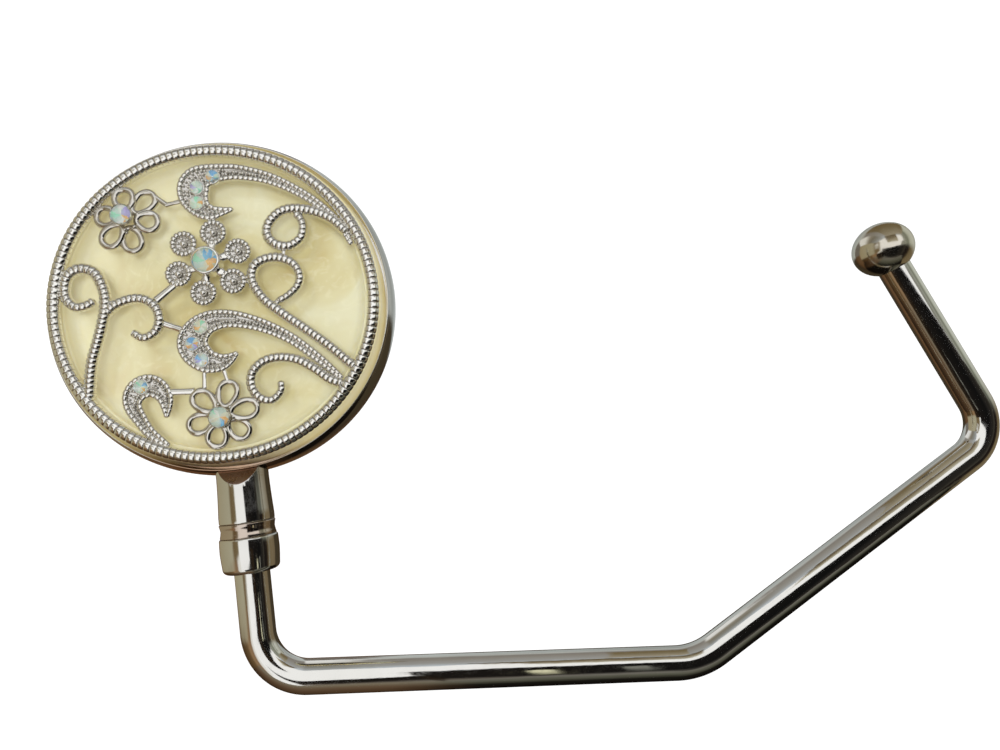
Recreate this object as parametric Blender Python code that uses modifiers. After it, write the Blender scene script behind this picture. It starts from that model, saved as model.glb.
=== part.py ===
"""Table-top purse hook: a round medallion head with an inlaid resin dish and an openwork
filigree overlay set with stones, and a bent wire arm that swivels on a socket below it.

The head lies flat on a table on its grip pad. The arm turns on the socket: beside the head
for carrying, straight down past the table's edge for use. Metres, +Z up. The origin is the
centre of the grip pad's underside, the stem leaves towards -Y and the folded arm lies
towards +X.
"""

import math

import bmesh
import bpy
from mathutils import Matrix, Quaternion, Vector

# Clearances
GAP = 0.0003                    # between pieces that rest on or fit round each other
SETTING_GAP = 0.00015           # round a stone in its cup
RUNNING_GAP = 0.00015           # round the spigot that turns in its bush
TABLE_CLEARANCE = 0.00015       # the ball and collar stay this far above the table
OVERRUN = 0.002                 # cutters run this far past what they cut

# Head: grip pad, plated case and resin dish
PAD_RADIUS = 0.0170
PAD_THICKNESS = 0.0010
PAD_INSET = 0.0004              # how deep the pad sits in the case's back
PAD_EDGE_ROUND = 0.0002
CASE_RADIUS = 0.0225
CASE_WALL_HEIGHT = 0.0062
CASE_WALL = 0.0009
CASE_LIP_WALL = 0.0002          # the wall is spun thin and in towards its lip
CASE_SHOULDER_HEIGHT = 0.0030   # how far below the lip that starts
CASE_FLOOR = 0.0009
CASE_CORNER_RADIUS = 0.0014
DISH_RISE = 0.0017              # resin standing above the case's lip
DISH_TAPER = 0.0004             # how much its edge leans in over that rise
DISH_DEPTH = 0.0019             # recess below the filigree
DISH_COVE_RADIUS = 0.0013

# Milled ring round the recess
RING_WIRE_RADIUS = 0.0008
RING_LEDGE = 0.0004             # resin seen outside the ring
RING_RIDGES = 64

# Filigree wires
SCROLL_WIRE_RADIUS = 0.00055
PLUME_WIRE_RADIUS = 0.00045
PLUME_PLATE_THICKNESS = 0.0007
PETAL_WIRE_RADIUS = 0.00028
LINK_WIRE_RADIUS = 0.00030
RIDGE_PITCH = 0.0018

# Stones and their cups
CENTRE_STONE_RADIUS = 0.00155
FLOWER_STONE_RADIUS = 0.00135
PLUME_STONE_RADIUS = 0.00085
CUP_WALL = 0.0003
CUP_LEDGE = 0.0002              # ledge under the girdle
CUP_HEIGHT = 0.0014             # seat above the wires' centre plane
CUP_LIP = 0.0003                # wall standing above the seat
CUP_FOOT = 0.0003               # cup below the wires' centre plane

# Socket, neck and collar on the stem's axis
TUBE_RADIUS = 0.0033
TUBE_MOUTH_RADIUS = 0.0035
TUBE_WALL = 0.0008
TUBE_LENGTH = 0.0059            # past the case's edge
MOUTH_LENGTH = 0.00175          # full width at the mouth, then it tapers
MOUTH_TAPER = 0.00175
SCARF_LENGTH = 0.00085          # slanted cut on the front, along the stem
SCARF_CUTTER_SIDE = 0.0132
BAND_RADIUS = 0.00355
BAND_LENGTH = 0.00155
BUSH_LENGTH = 0.0022            # barrel inside the socket
COLLAR_RADIUS = 0.00375
COLLAR_LENGTH = 0.00455
COLLAR_LOWER_ROUND = 0.0008
COLLAR_UPPER_ROUND = 0.0003
SPIGOT_RADIUS = 0.0015
WASHER_THICKNESS = 0.0004
HEAD_THICKNESS = 0.0008
HEAD_FLARE = 0.0006             # peened head beyond the spigot
EDGE_BREAK = 0.0001             # small chamfers on turned steps
WELD_DISTANCE = 0.00001         # turned profiles close on their axis within this
CAP_WELD_DISTANCE = 0.000001    # a wire's end caps are welded on within this

# Arm
ROD_RADIUS = 0.00225
STEM_LENGTH = 0.0137            # collar to the first bend's corner
LONG_RUN_LENGTH = 0.0576
SLANT_RUN_LENGTH = 0.0541
END_RUN_LENGTH = 0.0311         # last bend's corner to the ball's centre
FIRST_BEND_RADIUS = 0.0066
MIDDLE_BEND_RADIUS = 0.0100
LAST_BEND_RADIUS = 0.0059
LONG_RUN_ANGLE_DEG = -6.7       # from +X towards +Y
SLANT_RUN_ANGLE_DEG = 27.2
END_RUN_ANGLE_DEG = 112.7
BALL_RADIUS = 0.00425
BALL_FLAT_SHARE = 0.89          # its length along the rod, of its width
BALL_GRIP_SHARE = 0.45          # how deep the rod goes in, of its radius

# Shares of a stone's radius, and of a curled or tapered wire
STONE_CROWN_SHARE = 0.42
STONE_TABLE_SHARE = 0.58
STONE_PAVILION_SHARE = 0.60
STONE_GIRDLE_SHARE = 0.08
RIDGE_VALLEY_SHARE = 0.80
TIP_SHARE = 0.70                # a scroll's curled end, of its full wire
TIP_RUN_SHARE = 0.125           # how much of the wire that end takes
PETAL_MEAN_SHARE = 0.72         # a wire petal's width, narrower at its root
PETAL_SWELL_SHARE = 0.28        # and fuller towards its far end

# Angles
SCARF_ANGLE_DEG = 33.0
BEVEL_ANGLE_DEG = 40.0
SMOOTH_ANGLE_DEG = 35.0
WIRE_FACE_DEG = 60.0            # a plume's edge wires are drawn with six sides

# Counts
HEAD_STEPS = 48
SADDLE_STEPS = 192
TURNED_STEPS = 20
CUP_STEPS = 16
STONE_STEPS = 8
PETAL_STEPS = 14
WIRE_SIDES_LEVEL = 1            # six sides
ROD_SIDES_LEVEL = 6             # sixteen sides
ROUND_POINTS = 4
BALL_POINTS = 11
BEND_POINTS = 6
CURVE_POINTS = 24
LOOP_POINTS = 10
PETALS = 6

# Heights worked out from the pieces below
CASE_BACK_Z = PAD_THICKNESS - PAD_INSET
RECESS_Z = PAD_THICKNESS + GAP
CASE_FLOOR_Z = RECESS_Z + CASE_FLOOR
CASE_LIP_Z = CASE_BACK_Z + CASE_WALL_HEIGHT
DISH_RIM_Z = CASE_LIP_Z + DISH_RISE
WIRE_Z = DISH_RIM_Z + GAP + RING_WIRE_RADIUS
PLATE_TOP_Z = WIRE_Z + PLUME_PLATE_THICKNESS / 2
STEM_Z = max(BALL_RADIUS, COLLAR_RADIUS) + TABLE_CLEARANCE

# Radii worked out from the case inwards
DISH_RADIUS = CASE_RADIUS - CASE_WALL - GAP
RIM_RADIUS = DISH_RADIUS - DISH_TAPER
RING_RADIUS = RIM_RADIUS - RING_LEDGE - RING_WIRE_RADIUS
FIELD_RADIUS = RING_RADIUS - RING_WIRE_RADIUS

# Distances down the stem, from the head's centre
TUBE_START = CASE_RADIUS + GAP
TUBE_END = CASE_RADIUS + TUBE_LENGTH
BAND_START = TUBE_END + GAP
BAND_END = BAND_START + BAND_LENGTH
COLLAR_START = BAND_END + GAP
COLLAR_END = COLLAR_START + COLLAR_LENGTH
FIRST_CORNER = COLLAR_END + STEM_LENGTH
BUSH_START = BAND_START - GAP - BUSH_LENGTH
WASHER_START = BUSH_START - GAP - WASHER_THICKNESS
HEAD_START = WASHER_START - GAP - HEAD_THICKNESS
BORE_START = HEAD_START - GAP
BORE_RADIUS = TUBE_RADIUS - TUBE_WALL
HEAD_RADIUS = SPIGOT_RADIUS + HEAD_FLARE

# Where the filigree runs, as shares of the radius inside the milled ring
SCROLL_SHARES = {
    "scroll_upper_right": [
        (0.725, 0.415), (0.645, 0.53), (0.52, 0.56), (0.42, 0.50), (0.39, 0.41),
        (0.44, 0.34), (0.52, 0.31), (0.61, 0.35), (0.625, 0.44),
    ],
    "scroll_right": [
        (0.79, -0.52), (0.71, -0.39), (0.57, -0.26), (0.44, -0.15), (0.33, -0.04),
        (0.27, 0.07), (0.27, 0.17), (0.34, 0.23), (0.44, 0.24), (0.54, 0.19),
        (0.58, 0.11), (0.55, 0.02), (0.445, -0.035),
    ],
    "scroll_lower_right": [
        (0.70, -0.65), (0.62, -0.55), (0.50, -0.47), (0.38, -0.44), (0.28, -0.47),
        (0.20, -0.53), (0.19, -0.62), (0.24, -0.69), (0.31, -0.71), (0.37, -0.67),
        (0.38, -0.60),
    ],
    "scroll_left": [
        (-0.80, -0.51), (-0.82, -0.42), (-0.81, -0.32), (-0.78, -0.21), (-0.73, -0.09),
        (-0.70, 0.04), (-0.71, 0.15), (-0.75, 0.25), (-0.83, 0.30), (-0.90, 0.27),
        (-0.935, 0.19), (-0.93, 0.11), (-0.88, 0.04), (-0.80, 0.04),
    ],
    "scroll_left_branch": [
        (-0.63, 0.03), (-0.56, 0.065), (-0.47, 0.06), (-0.41, 0.015), (-0.37, -0.06),
        (-0.38, -0.14), (-0.44, -0.195), (-0.51, -0.20), (-0.55, -0.16),
    ],
}
# A plume's spine, each place with half the width between its two edge wires
PLUME_SHARES = {
    "plume_top": [
        (0.185, 0.61, 0.0), (0.111, 0.602, 0.014), (0.037, 0.608, 0.026), (-0.0185, 0.629, 0.047),
        (-0.053, 0.677, 0.069), (-0.069, 0.735, 0.084), (-0.061, 0.794, 0.088),
        (-0.024, 0.839, 0.076), (0.042, 0.863, 0.056), (0.132, 0.87, 0.042), (0.249, 0.86, 0.033),
        (0.439, 0.799, 0.0225), (0.619, 0.693, 0.015), (0.762, 0.577, 0.01), (0.889, 0.418, 0.006),
        (0.95, 0.275, 0.0),
    ],
    "plume_middle": [
        (0.117, -0.38, 0.0), (0.06, -0.415, 0.024), (-0.005, -0.43, 0.044), (-0.085, -0.41, 0.062),
        (-0.145, -0.35, 0.078), (-0.168, -0.28, 0.083), (-0.135, -0.207, 0.075),
        (-0.058, -0.154, 0.059), (0.053, -0.14, 0.044), (0.185, -0.168, 0.034),
        (0.333, -0.232, 0.025), (0.475, -0.322, 0.018), (0.605, -0.438, 0.013),
        (0.69, -0.53, 0.008), (0.745, -0.59, 0.0),
    ],
    "plume_bottom": [
        (-0.38, -0.75, 0.0), (-0.37, -0.68, 0.02), (-0.378, -0.617, 0.035), (-0.41, -0.563, 0.049),
        (-0.468, -0.53, 0.057), (-0.535, -0.545, 0.058), (-0.578, -0.595, 0.05),
        (-0.583, -0.66, 0.037), (-0.55, -0.735, 0.028), (-0.48, -0.797, 0.017), (-0.38, -0.865, 0.004),
    ],
}
PLUME_STONE_SHARES = {
    "plume_top": [(0.0714, 0.861), (-0.0487, 0.786), (-0.0646, 0.675)],
    "plume_middle": [(-0.103, -0.176), (-0.167, -0.285), (-0.1175, -0.4)],
    "plume_bottom": [(-0.52, -0.532)],
}
LINK_SHARES = {
    "plume_middle": [[(-0.24, -0.21), (-0.335, -0.16)], [(-0.105, -0.475), (-0.13, -0.53)]],
    "plume_bottom": [[(-0.35, -0.60), (-0.215, -0.625)]],
    "scroll_upper_right": [[(0.49, 0.315), (0.485, 0.273)]],
    "flower_upper_left": [[(-0.335, 0.71), (-0.21, 0.70)]],
    "flower_centre": [[(-0.25, 0.165), (-0.372, 0.053)]],
}
FLOWER_UPPER_LEFT_SHARES = (-0.5026, 0.5937)
FLOWER_CENTRE_SHARES = (-0.015, 0.255)
FLOWER_LOWER_SHARES = (-0.0243, -0.7646)
LOOP_REACH_SHARE = 0.215        # centre of the flower to the far end of a wire petal
LOOP_WIDTH_SHARE = 0.070        # half of a wire petal's width
ROUND_PETAL_PITCH_SHARE = 0.205
ROUND_PETAL_RADIUS_SHARE = 0.063
FLOWER_BASE_SHARE = 0.165
UPPER_LEFT_TURN_DEG = 40.0
CENTRE_TURN_DEG = 17.0
LOWER_TURN_DEG = 8.0

PARTS = None
CUTTERS = None


def clear_scene():
    for obj in list(bpy.data.objects):
        bpy.data.objects.remove(obj, do_unlink=True)


def new_collection(name):
    collection = bpy.data.collections.new(name)
    bpy.context.scene.collection.children.link(collection)
    return collection


def material(name, colour, metallic, roughness):
    mat = bpy.data.materials.new(name)
    mat.use_nodes = True
    shader = mat.node_tree.nodes["Principled BSDF"]
    shader.inputs["Base Color"].default_value = (*colour, 1.0)
    shader.inputs["Metallic"].default_value = metallic
    shader.inputs["Roughness"].default_value = roughness
    return mat


def take_primitive(name):
    """The primitive just added, named and taken out of the collection it landed in."""
    obj = bpy.context.object
    obj.name = name
    for collection in list(obj.users_collection):
        collection.objects.unlink(obj)
    return obj


def add_part(obj, mat, parent=None):
    PARTS.objects.link(obj)
    obj.data.materials.append(mat)
    if parent:
        obj.parent = parent
    return obj


def add_helper(obj):
    """A shape that only a Boolean reads."""
    obj.hide_render = True
    obj.display_type = "WIRE"
    return obj


def smooth(mesh):
    mesh.shade_smooth()
    mesh.set_sharp_from_angle(angle=math.radians(SMOOTH_ANGLE_DEG))


def turned(name, profile, steps):
    """A profile of (radius, height) points, from the top down its outer side, turned about Z."""
    mesh = bpy.data.meshes.new(name)
    edges = [(i, i + 1) for i in range(len(profile) - 1)]
    if profile[0][0] > 0.0 and profile[-1][0] > 0.0:
        edges.append((len(profile) - 1, 0))
    mesh.from_pydata([(r, 0.0, z) for r, z in profile], edges, [])
    obj = bpy.data.objects.new(name, mesh)
    screw = obj.modifiers.new("Turn", "SCREW")
    screw.steps = steps
    screw.render_steps = steps
    screw.use_merge_vertices = True
    screw.merge_threshold = WELD_DISTANCE
    screw.use_smooth_shade = True
    return obj


def arc(centre, radius, start_deg, end_deg, points):
    """Points on an arc in the profile's plane, both ends included."""
    found = []
    for i in range(points + 1):
        angle = math.radians(start_deg + (end_deg - start_deg) * i / points)
        found.append((centre[0] + radius * math.cos(angle), centre[1] + radius * math.sin(angle)))
    return found


def boolean(obj, others, operation, name):
    """One exact Boolean with all the given shapes, kept together in a collection of their own."""
    if not others:
        return
    group = bpy.data.collections.new(f"{obj.name}_{name.lower()}")
    CUTTERS.children.link(group)
    for other in others:
        group.objects.link(other)
    modifier = obj.modifiers.new(name, "BOOLEAN")
    modifier.operation = operation
    modifier.solver = "EXACT"
    modifier.operand_type = "COLLECTION"
    modifier.collection = group


def union(obj, others):
    boolean(obj, others, "UNION", "Joined")


def cut(obj, others):
    boolean(obj, others, "DIFFERENCE", "Cut")


def catmull(points, spacing):
    """A smooth path through the points, sampled at about the spacing."""
    ends = [2 * points[0] - points[1]] + points + [2 * points[-1] - points[-2]]
    dense = []
    for i in range(1, len(ends) - 2):
        a, b, c, d = ends[i - 1:i + 3]
        for k in range(CURVE_POINTS):
            t = k / CURVE_POINTS
            dense.append(0.5 * (2 * b + (c - a) * t + (2 * a - 5 * b + 4 * c - d) * t ** 2
                                + (3 * b - a - 3 * c + d) * t ** 3))
    dense.append(points[-1])
    run = [0.0]
    for p, q in zip(dense, dense[1:]):
        run.append(run[-1] + (q - p).length)
    count = max(2, round(run[-1] / spacing))
    found = []
    k = 0
    for i in range(count + 1):
        want = run[-1] * i / count
        while k < len(run) - 2 and run[k + 1] < want:
            k += 1
        t = (want - run[k]) / (run[k + 1] - run[k])
        found.append(dense[k].lerp(dense[k + 1], min(1.0, t)))
    return found


def in_field(shares, wire_radius):
    """Real places of a table of shares, never nearer the milled ring than the gap."""
    limit = FIELD_RADIUS - GAP - wire_radius
    found = []
    for x, y in shares:
        p = Vector((x, y)) * FIELD_RADIUS
        if p.length > limit:
            p = p * (limit / p.length)
        found.append(Vector((p.x, p.y, 0.0)))
    return found


def wire_curve(name, path, wire_radius, shares, closed=False, level=WIRE_SIDES_LEVEL):
    """A round wire along the path, whose radius at each point is a share of the wire's."""
    data = bpy.data.curves.new(name, "CURVE")
    data.dimensions = "3D"
    data.bevel_depth = wire_radius
    data.bevel_resolution = level
    data.use_fill_caps = not closed
    spline = data.splines.new("POLY")
    spline.points.add(len(path) - 1)
    for point, place, share in zip(spline.points, path, shares):
        point.co = (*place, 1.0)
        point.radius = share
    spline.use_cyclic_u = closed
    spline.use_smooth = True
    return bpy.data.objects.new(name, data)


def as_mesh(curve_obj):
    """The curve's evaluated mesh as an object of its own, with its caps welded on."""
    bpy.context.scene.collection.objects.link(curve_obj)
    bpy.context.view_layer.update()
    graph = bpy.context.evaluated_depsgraph_get()
    mesh = bpy.data.meshes.new_from_object(curve_obj.evaluated_get(graph))
    place = curve_obj.matrix_world.copy()
    name = curve_obj.name
    bpy.data.objects.remove(curve_obj, do_unlink=True)
    form = bmesh.new()
    form.from_mesh(mesh)
    bmesh.ops.remove_doubles(form, verts=form.verts, dist=CAP_WELD_DISTANCE)
    bmesh.ops.recalc_face_normals(form, faces=form.faces)
    form.to_mesh(mesh)
    form.free()
    obj = bpy.data.objects.new(name, mesh)
    obj.matrix_world = place
    return obj


def milled_shares(count, first_share=1.0, last_share=1.0):
    """Crest and valley by turns, with the ends drawn down to the shares given."""
    found = []
    ends = max(2, round(count * TIP_RUN_SHARE))
    for i in range(count):
        share = 1.0 if i % 2 else RIDGE_VALLEY_SHARE
        from_first = min(1.0, i / ends)
        from_last = min(1.0, (count - 1 - i) / ends)
        share *= first_share + (1.0 - first_share) * from_first
        share *= last_share + (1.0 - last_share) * from_last
        found.append(share)
    return found


def circle_path(centre, radius, count, turn_deg=0.0):
    found = []
    for i in range(count):
        angle = math.radians(turn_deg) + math.tau * i / count
        found.append(centre + radius * Vector((math.cos(angle), math.sin(angle), 0.0)))
    return found


def link_bars(name):
    """Short plain bars cast between neighbours, each stopping a gap short of the next piece."""
    bars = []
    for i, ends in enumerate(LINK_SHARES.get(name, [])):
        start, end = in_field(ends, LINK_WIRE_RADIUS)
        bar = as_mesh(wire_curve(f"{name}_link_{i + 1}", [start, end], LINK_WIRE_RADIUS, [1.0, 1.0]))
        bar.location.z = WIRE_Z
        bars.append(add_helper(bar))
    return bars


def make_scroll(name, shares, mat):
    path = catmull(in_field(shares, SCROLL_WIRE_RADIUS), RIDGE_PITCH / 2)
    wire = wire_curve(name, path, SCROLL_WIRE_RADIUS, milled_shares(len(path), 1.0, TIP_SHARE))
    bars = link_bars(name)
    if bars:
        wire = as_mesh(wire)
        smooth(wire.data)
        union(wire, bars)
    wire.location.z = WIRE_Z
    return add_part(wire, mat)


def plume_section(half_width, wire_radius):
    """Half of a plume's cross-section, as (across, up) points from one edge to the other."""
    half_plate = PLUME_PLATE_THICKNESS / 2
    high = wire_radius * math.sin(math.radians(WIRE_FACE_DEG))
    near = max(half_width, wire_radius)
    web = near - wire_radius * (half_plate / PLUME_WIRE_RADIUS)
    side = [(near + wire_radius, 0.0), (near + wire_radius / 2, high),
            (near - wire_radius / 2, high), (web, min(half_plate, high))]
    return side + [(-across, up) for across, up in reversed(side)]


def plume_loft(name, stations):
    """A crescent skinned over its stations: a plate between two ridged edge wires."""
    form = bmesh.new()
    count = len(stations)
    tapers = milled_shares(count, TIP_SHARE, TIP_SHARE)
    rings = []
    for i, (place, half_width) in enumerate(stations):
        before = stations[max(0, i - 1)][0]
        after = stations[min(count - 1, i + 1)][0]
        ahead = (after - before).normalized()
        aside = Vector((-ahead.y, ahead.x, 0.0))
        upper = plume_section(half_width, PLUME_WIRE_RADIUS * tapers[i])
        outline = upper + [(across, -up) for across, up in reversed(upper) if up > 0.0]
        rings.append([form.verts.new(place + aside * across + Vector((0.0, 0.0, up)))
                      for across, up in outline])
    for here, there in zip(rings, rings[1:]):
        for k in range(len(here)):
            n = (k + 1) % len(here)
            form.faces.new((here[k], here[n], there[n], there[k]))
    form.faces.new(list(reversed(rings[0])))
    form.faces.new(rings[-1])
    bmesh.ops.recalc_face_normals(form, faces=form.faces)
    mesh = bpy.data.meshes.new(name)
    form.to_mesh(mesh)
    form.free()
    return bpy.data.objects.new(name, mesh)


def make_plume(name, mat):
    """One plume, pierced behind each of its stones and with its links to the next pieces."""
    spine = catmull([Vector(shares) * FIELD_RADIUS for shares in PLUME_SHARES[name]], RIDGE_PITCH / 2)
    stations = []
    for x, y, half_width in spine:
        half_width = max(0.0, half_width)
        limit = FIELD_RADIUS - GAP - PLUME_WIRE_RADIUS - max(half_width, PLUME_WIRE_RADIUS)
        place = Vector((x, y, 0.0))
        if place.length > limit:
            place *= limit / place.length
        stations.append((place, half_width))
    plume = plume_loft(name, stations)
    plume.location.z = WIRE_Z
    union(plume, link_bars(name))
    holes = []
    for i, place in enumerate(in_field(PLUME_STONE_SHARES[name], PLUME_WIRE_RADIUS)):
        reach = PLUME_STONE_RADIUS - SETTING_GAP
        depth = PLUME_PLATE_THICKNESS + 2 * OVERRUN
        hole = turned(f"{name}_hole_{i + 1}", [(0.0, depth / 2), (reach, depth / 2),
                                               (reach, -depth / 2), (0.0, -depth / 2)], CUP_STEPS)
        hole.location = (place.x, place.y, WIRE_Z)
        holes.append(add_helper(hole))
    cut(plume, holes)
    smooth(plume.data)
    return add_part(plume, mat)


def cup(name, stone_radius, base_radius=None):
    """The turned cup of a flower: open at the back, with a ledge and a lip round the stone."""
    outer = stone_radius + SETTING_GAP + CUP_WALL
    bore = stone_radius - CUP_LEDGE
    lip = stone_radius + SETTING_GAP
    top = CUP_HEIGHT + CUP_LIP
    profile = [(bore, CUP_HEIGHT), (lip, CUP_HEIGHT), (lip, top), (outer, top)]
    if base_radius:
        profile += [(outer, CUP_FOOT), (base_radius, CUP_FOOT), (base_radius, -CUP_FOOT)]
    else:
        profile += [(outer, -CUP_FOOT)]
    profile += [(bore, -CUP_FOOT)]
    return turned(name, profile, CUP_STEPS)


def make_loop_flower(name, centre_shares, turn_deg, mat):
    """Six plain wire loops round a raised cup."""
    centre = Vector((*centre_shares, 0.0)) * FIELD_RADIUS
    flower = cup(name, FLOWER_STONE_RADIUS)
    flower.location = (centre.x, centre.y, WIRE_Z)
    reach = LOOP_REACH_SHARE * FIELD_RADIUS
    root = FLOWER_STONE_RADIUS + SETTING_GAP
    half_length = (reach - root) / 2
    half_width = LOOP_WIDTH_SHARE * FIELD_RADIUS
    petals = []
    for i in range(PETALS):
        turn = math.radians(turn_deg) + math.tau * i / PETALS
        path = []
        for k in range(LOOP_POINTS):
            angle = math.tau * k / LOOP_POINTS
            along = root + half_length * (1.0 - math.cos(angle))
            # Narrow at the root and full towards the far end, like a teardrop
            fullness = PETAL_MEAN_SHARE - PETAL_SWELL_SHARE * math.cos(angle)
            across = half_width * math.sin(angle) * fullness
            path.append(Vector((along, across, 0.0)))
        petal = as_mesh(wire_curve(f"{name}_petal_{i + 1}", path, PETAL_WIRE_RADIUS,
                                   [1.0] * LOOP_POINTS, closed=True))
        petal.matrix_world = Matrix.Translation((centre.x, centre.y, WIRE_Z)) @ Matrix.Rotation(turn, 4, "Z")
        petals.append(add_helper(petal))
    union(flower, petals + link_bars(name))
    return add_part(flower, mat)


def make_round_flower(name, mat):
    """Six round petals, each a rim round a dome, soldered on a base disc round the largest cup."""
    centre = Vector((*FLOWER_CENTRE_SHARES, 0.0)) * FIELD_RADIUS
    flower = cup(name, CENTRE_STONE_RADIUS, FLOWER_BASE_SHARE * FIELD_RADIUS)
    flower.location = (centre.x, centre.y, WIRE_Z)
    pitch = ROUND_PETAL_PITCH_SHARE * FIELD_RADIUS
    radius = ROUND_PETAL_RADIUS_SHARE * FIELD_RADIUS
    wire = PLUME_WIRE_RADIUS
    dome = radius - wire
    profile = [(0.0, dome)] + arc((0.0, 0.0), dome, 60.0, 30.0, 1)
    profile += arc((radius, 0.0), wire, 120.0, -90.0, 4) + [(0.0, -wire)]
    petals = []
    for place in circle_path(centre, pitch, PETALS, CENTRE_TURN_DEG):
        petal = turned(f"{name}_petal_{len(petals) + 1}", profile, PETAL_STEPS)
        petal.location = (place.x, place.y, WIRE_Z)
        petals.append(add_helper(petal))
    union(flower, petals + link_bars(name))
    return add_part(flower, mat)


def make_stone(name, radius, place, girdle_z, mat):
    """A cut stone: flat table, sloping crown, short pavilion."""
    crown = radius * STONE_CROWN_SHARE
    table = radius * STONE_TABLE_SHARE
    pavilion = radius * STONE_PAVILION_SHARE
    girdle = radius * STONE_GIRDLE_SHARE
    profile = [(0.0, crown), (table, crown), (radius, girdle), (radius, 0.0), (0.0, -pavilion)]
    stone = turned(name, profile, STONE_STEPS)
    stone.modifiers["Turn"].use_smooth_shade = False
    stone.location = (place.x, place.y, girdle_z)
    return add_part(stone, mat)


def make_head(silver, resin, rubber):
    bpy.ops.mesh.primitive_cylinder_add(vertices=HEAD_STEPS, radius=PAD_RADIUS, depth=PAD_THICKNESS,
                                        location=(0.0, 0.0, PAD_THICKNESS / 2))
    pad = take_primitive("grip_pad")
    rounding = pad.modifiers.new("Edges", "BEVEL")
    rounding.width = PAD_EDGE_ROUND
    rounding.segments = 1
    rounding.angle_limit = math.radians(BEVEL_ANGLE_DEG)
    smooth(pad.data)
    add_part(pad, rubber)

    inner = CASE_RADIUS - CASE_WALL
    half_lip = CASE_LIP_WALL / 2
    recess = PAD_RADIUS + GAP
    profile = [(0.0, CASE_FLOOR_Z), (inner, CASE_FLOOR_Z)]
    profile += arc((inner + half_lip, CASE_LIP_Z - half_lip), half_lip, 180.0, 0.0, ROUND_POINTS)
    # The shoulder is the arc that leaves the side upright and ends at the lip
    drop = CASE_SHOULDER_HEIGHT - half_lip
    lean = CASE_WALL - CASE_LIP_WALL
    shoulder = (drop ** 2 + lean ** 2) / (2 * lean)
    lip_deg = math.degrees(math.asin(drop / shoulder))
    profile += arc((CASE_RADIUS - shoulder, CASE_LIP_Z - CASE_SHOULDER_HEIGHT), shoulder,
                   lip_deg, 0.0, ROUND_POINTS)[1:]
    profile += arc((CASE_RADIUS - CASE_CORNER_RADIUS, CASE_BACK_Z + CASE_CORNER_RADIUS),
                   CASE_CORNER_RADIUS, 0.0, -90.0, ROUND_POINTS)
    profile += [(recess, CASE_BACK_Z), (recess, RECESS_Z), (0.0, RECESS_Z)]
    add_part(turned("case_cup", profile, HEAD_STEPS), silver)

    bottom = CASE_FLOOR_Z + GAP
    floor = DISH_RIM_Z - DISH_DEPTH
    cove = arc((FIELD_RADIUS - DISH_COVE_RADIUS, floor + DISH_COVE_RADIUS), DISH_COVE_RADIUS,
               -90.0, 0.0, ROUND_POINTS)
    profile = [(0.0, floor)] + cove + [(FIELD_RADIUS, DISH_RIM_Z - EDGE_BREAK),
                                       (FIELD_RADIUS + EDGE_BREAK, DISH_RIM_Z),
                                       (RIM_RADIUS - DISH_TAPER, DISH_RIM_Z),
                                       (RIM_RADIUS, DISH_RIM_Z - DISH_TAPER),
                                       (DISH_RADIUS, CASE_LIP_Z), (DISH_RADIUS, bottom), (0.0, bottom)]
    add_part(turned("resin_dish", profile, HEAD_STEPS), resin)

    path = circle_path(Vector((0.0, 0.0, WIRE_Z)), RING_RADIUS, 2 * RING_RIDGES)
    ring = wire_curve("milled_ring", path, RING_WIRE_RADIUS, milled_shares(len(path)), closed=True)
    add_part(ring, silver)


def make_filigree(silver, crystal):
    for name, shares in SCROLL_SHARES.items():
        make_scroll(name, shares, silver)
    for name, shares in PLUME_STONE_SHARES.items():
        make_plume(name, silver)
        for i, place in enumerate(in_field(shares, PLUME_WIRE_RADIUS)):
            make_stone(f"stone_{name}_{i + 1}", PLUME_STONE_RADIUS, place, PLATE_TOP_Z + SETTING_GAP, crystal)
    make_loop_flower("flower_upper_left", FLOWER_UPPER_LEFT_SHARES, UPPER_LEFT_TURN_DEG, silver)
    make_loop_flower("flower_lower", FLOWER_LOWER_SHARES, LOWER_TURN_DEG, silver)
    make_round_flower("flower_centre", silver)
    seat_z = WIRE_Z + CUP_HEIGHT + SETTING_GAP
    for name, shares, radius in (
        ("stone_flower_upper_left", FLOWER_UPPER_LEFT_SHARES, FLOWER_STONE_RADIUS),
        ("stone_flower_lower", FLOWER_LOWER_SHARES, FLOWER_STONE_RADIUS),
        ("stone_flower_centre", FLOWER_CENTRE_SHARES, CENTRE_STONE_RADIUS),
    ):
        make_stone(name, radius, Vector((*shares, 0.0)) * FIELD_RADIUS, seat_z, crystal)


def down_stem(obj, distance):
    """Turns a piece made about Z so that its axis runs down the stem, its zero at the distance."""
    obj.rotation_euler = (math.radians(90.0), 0.0, 0.0)
    obj.location = (0.0, -distance, STEM_Z)
    return obj


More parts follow.
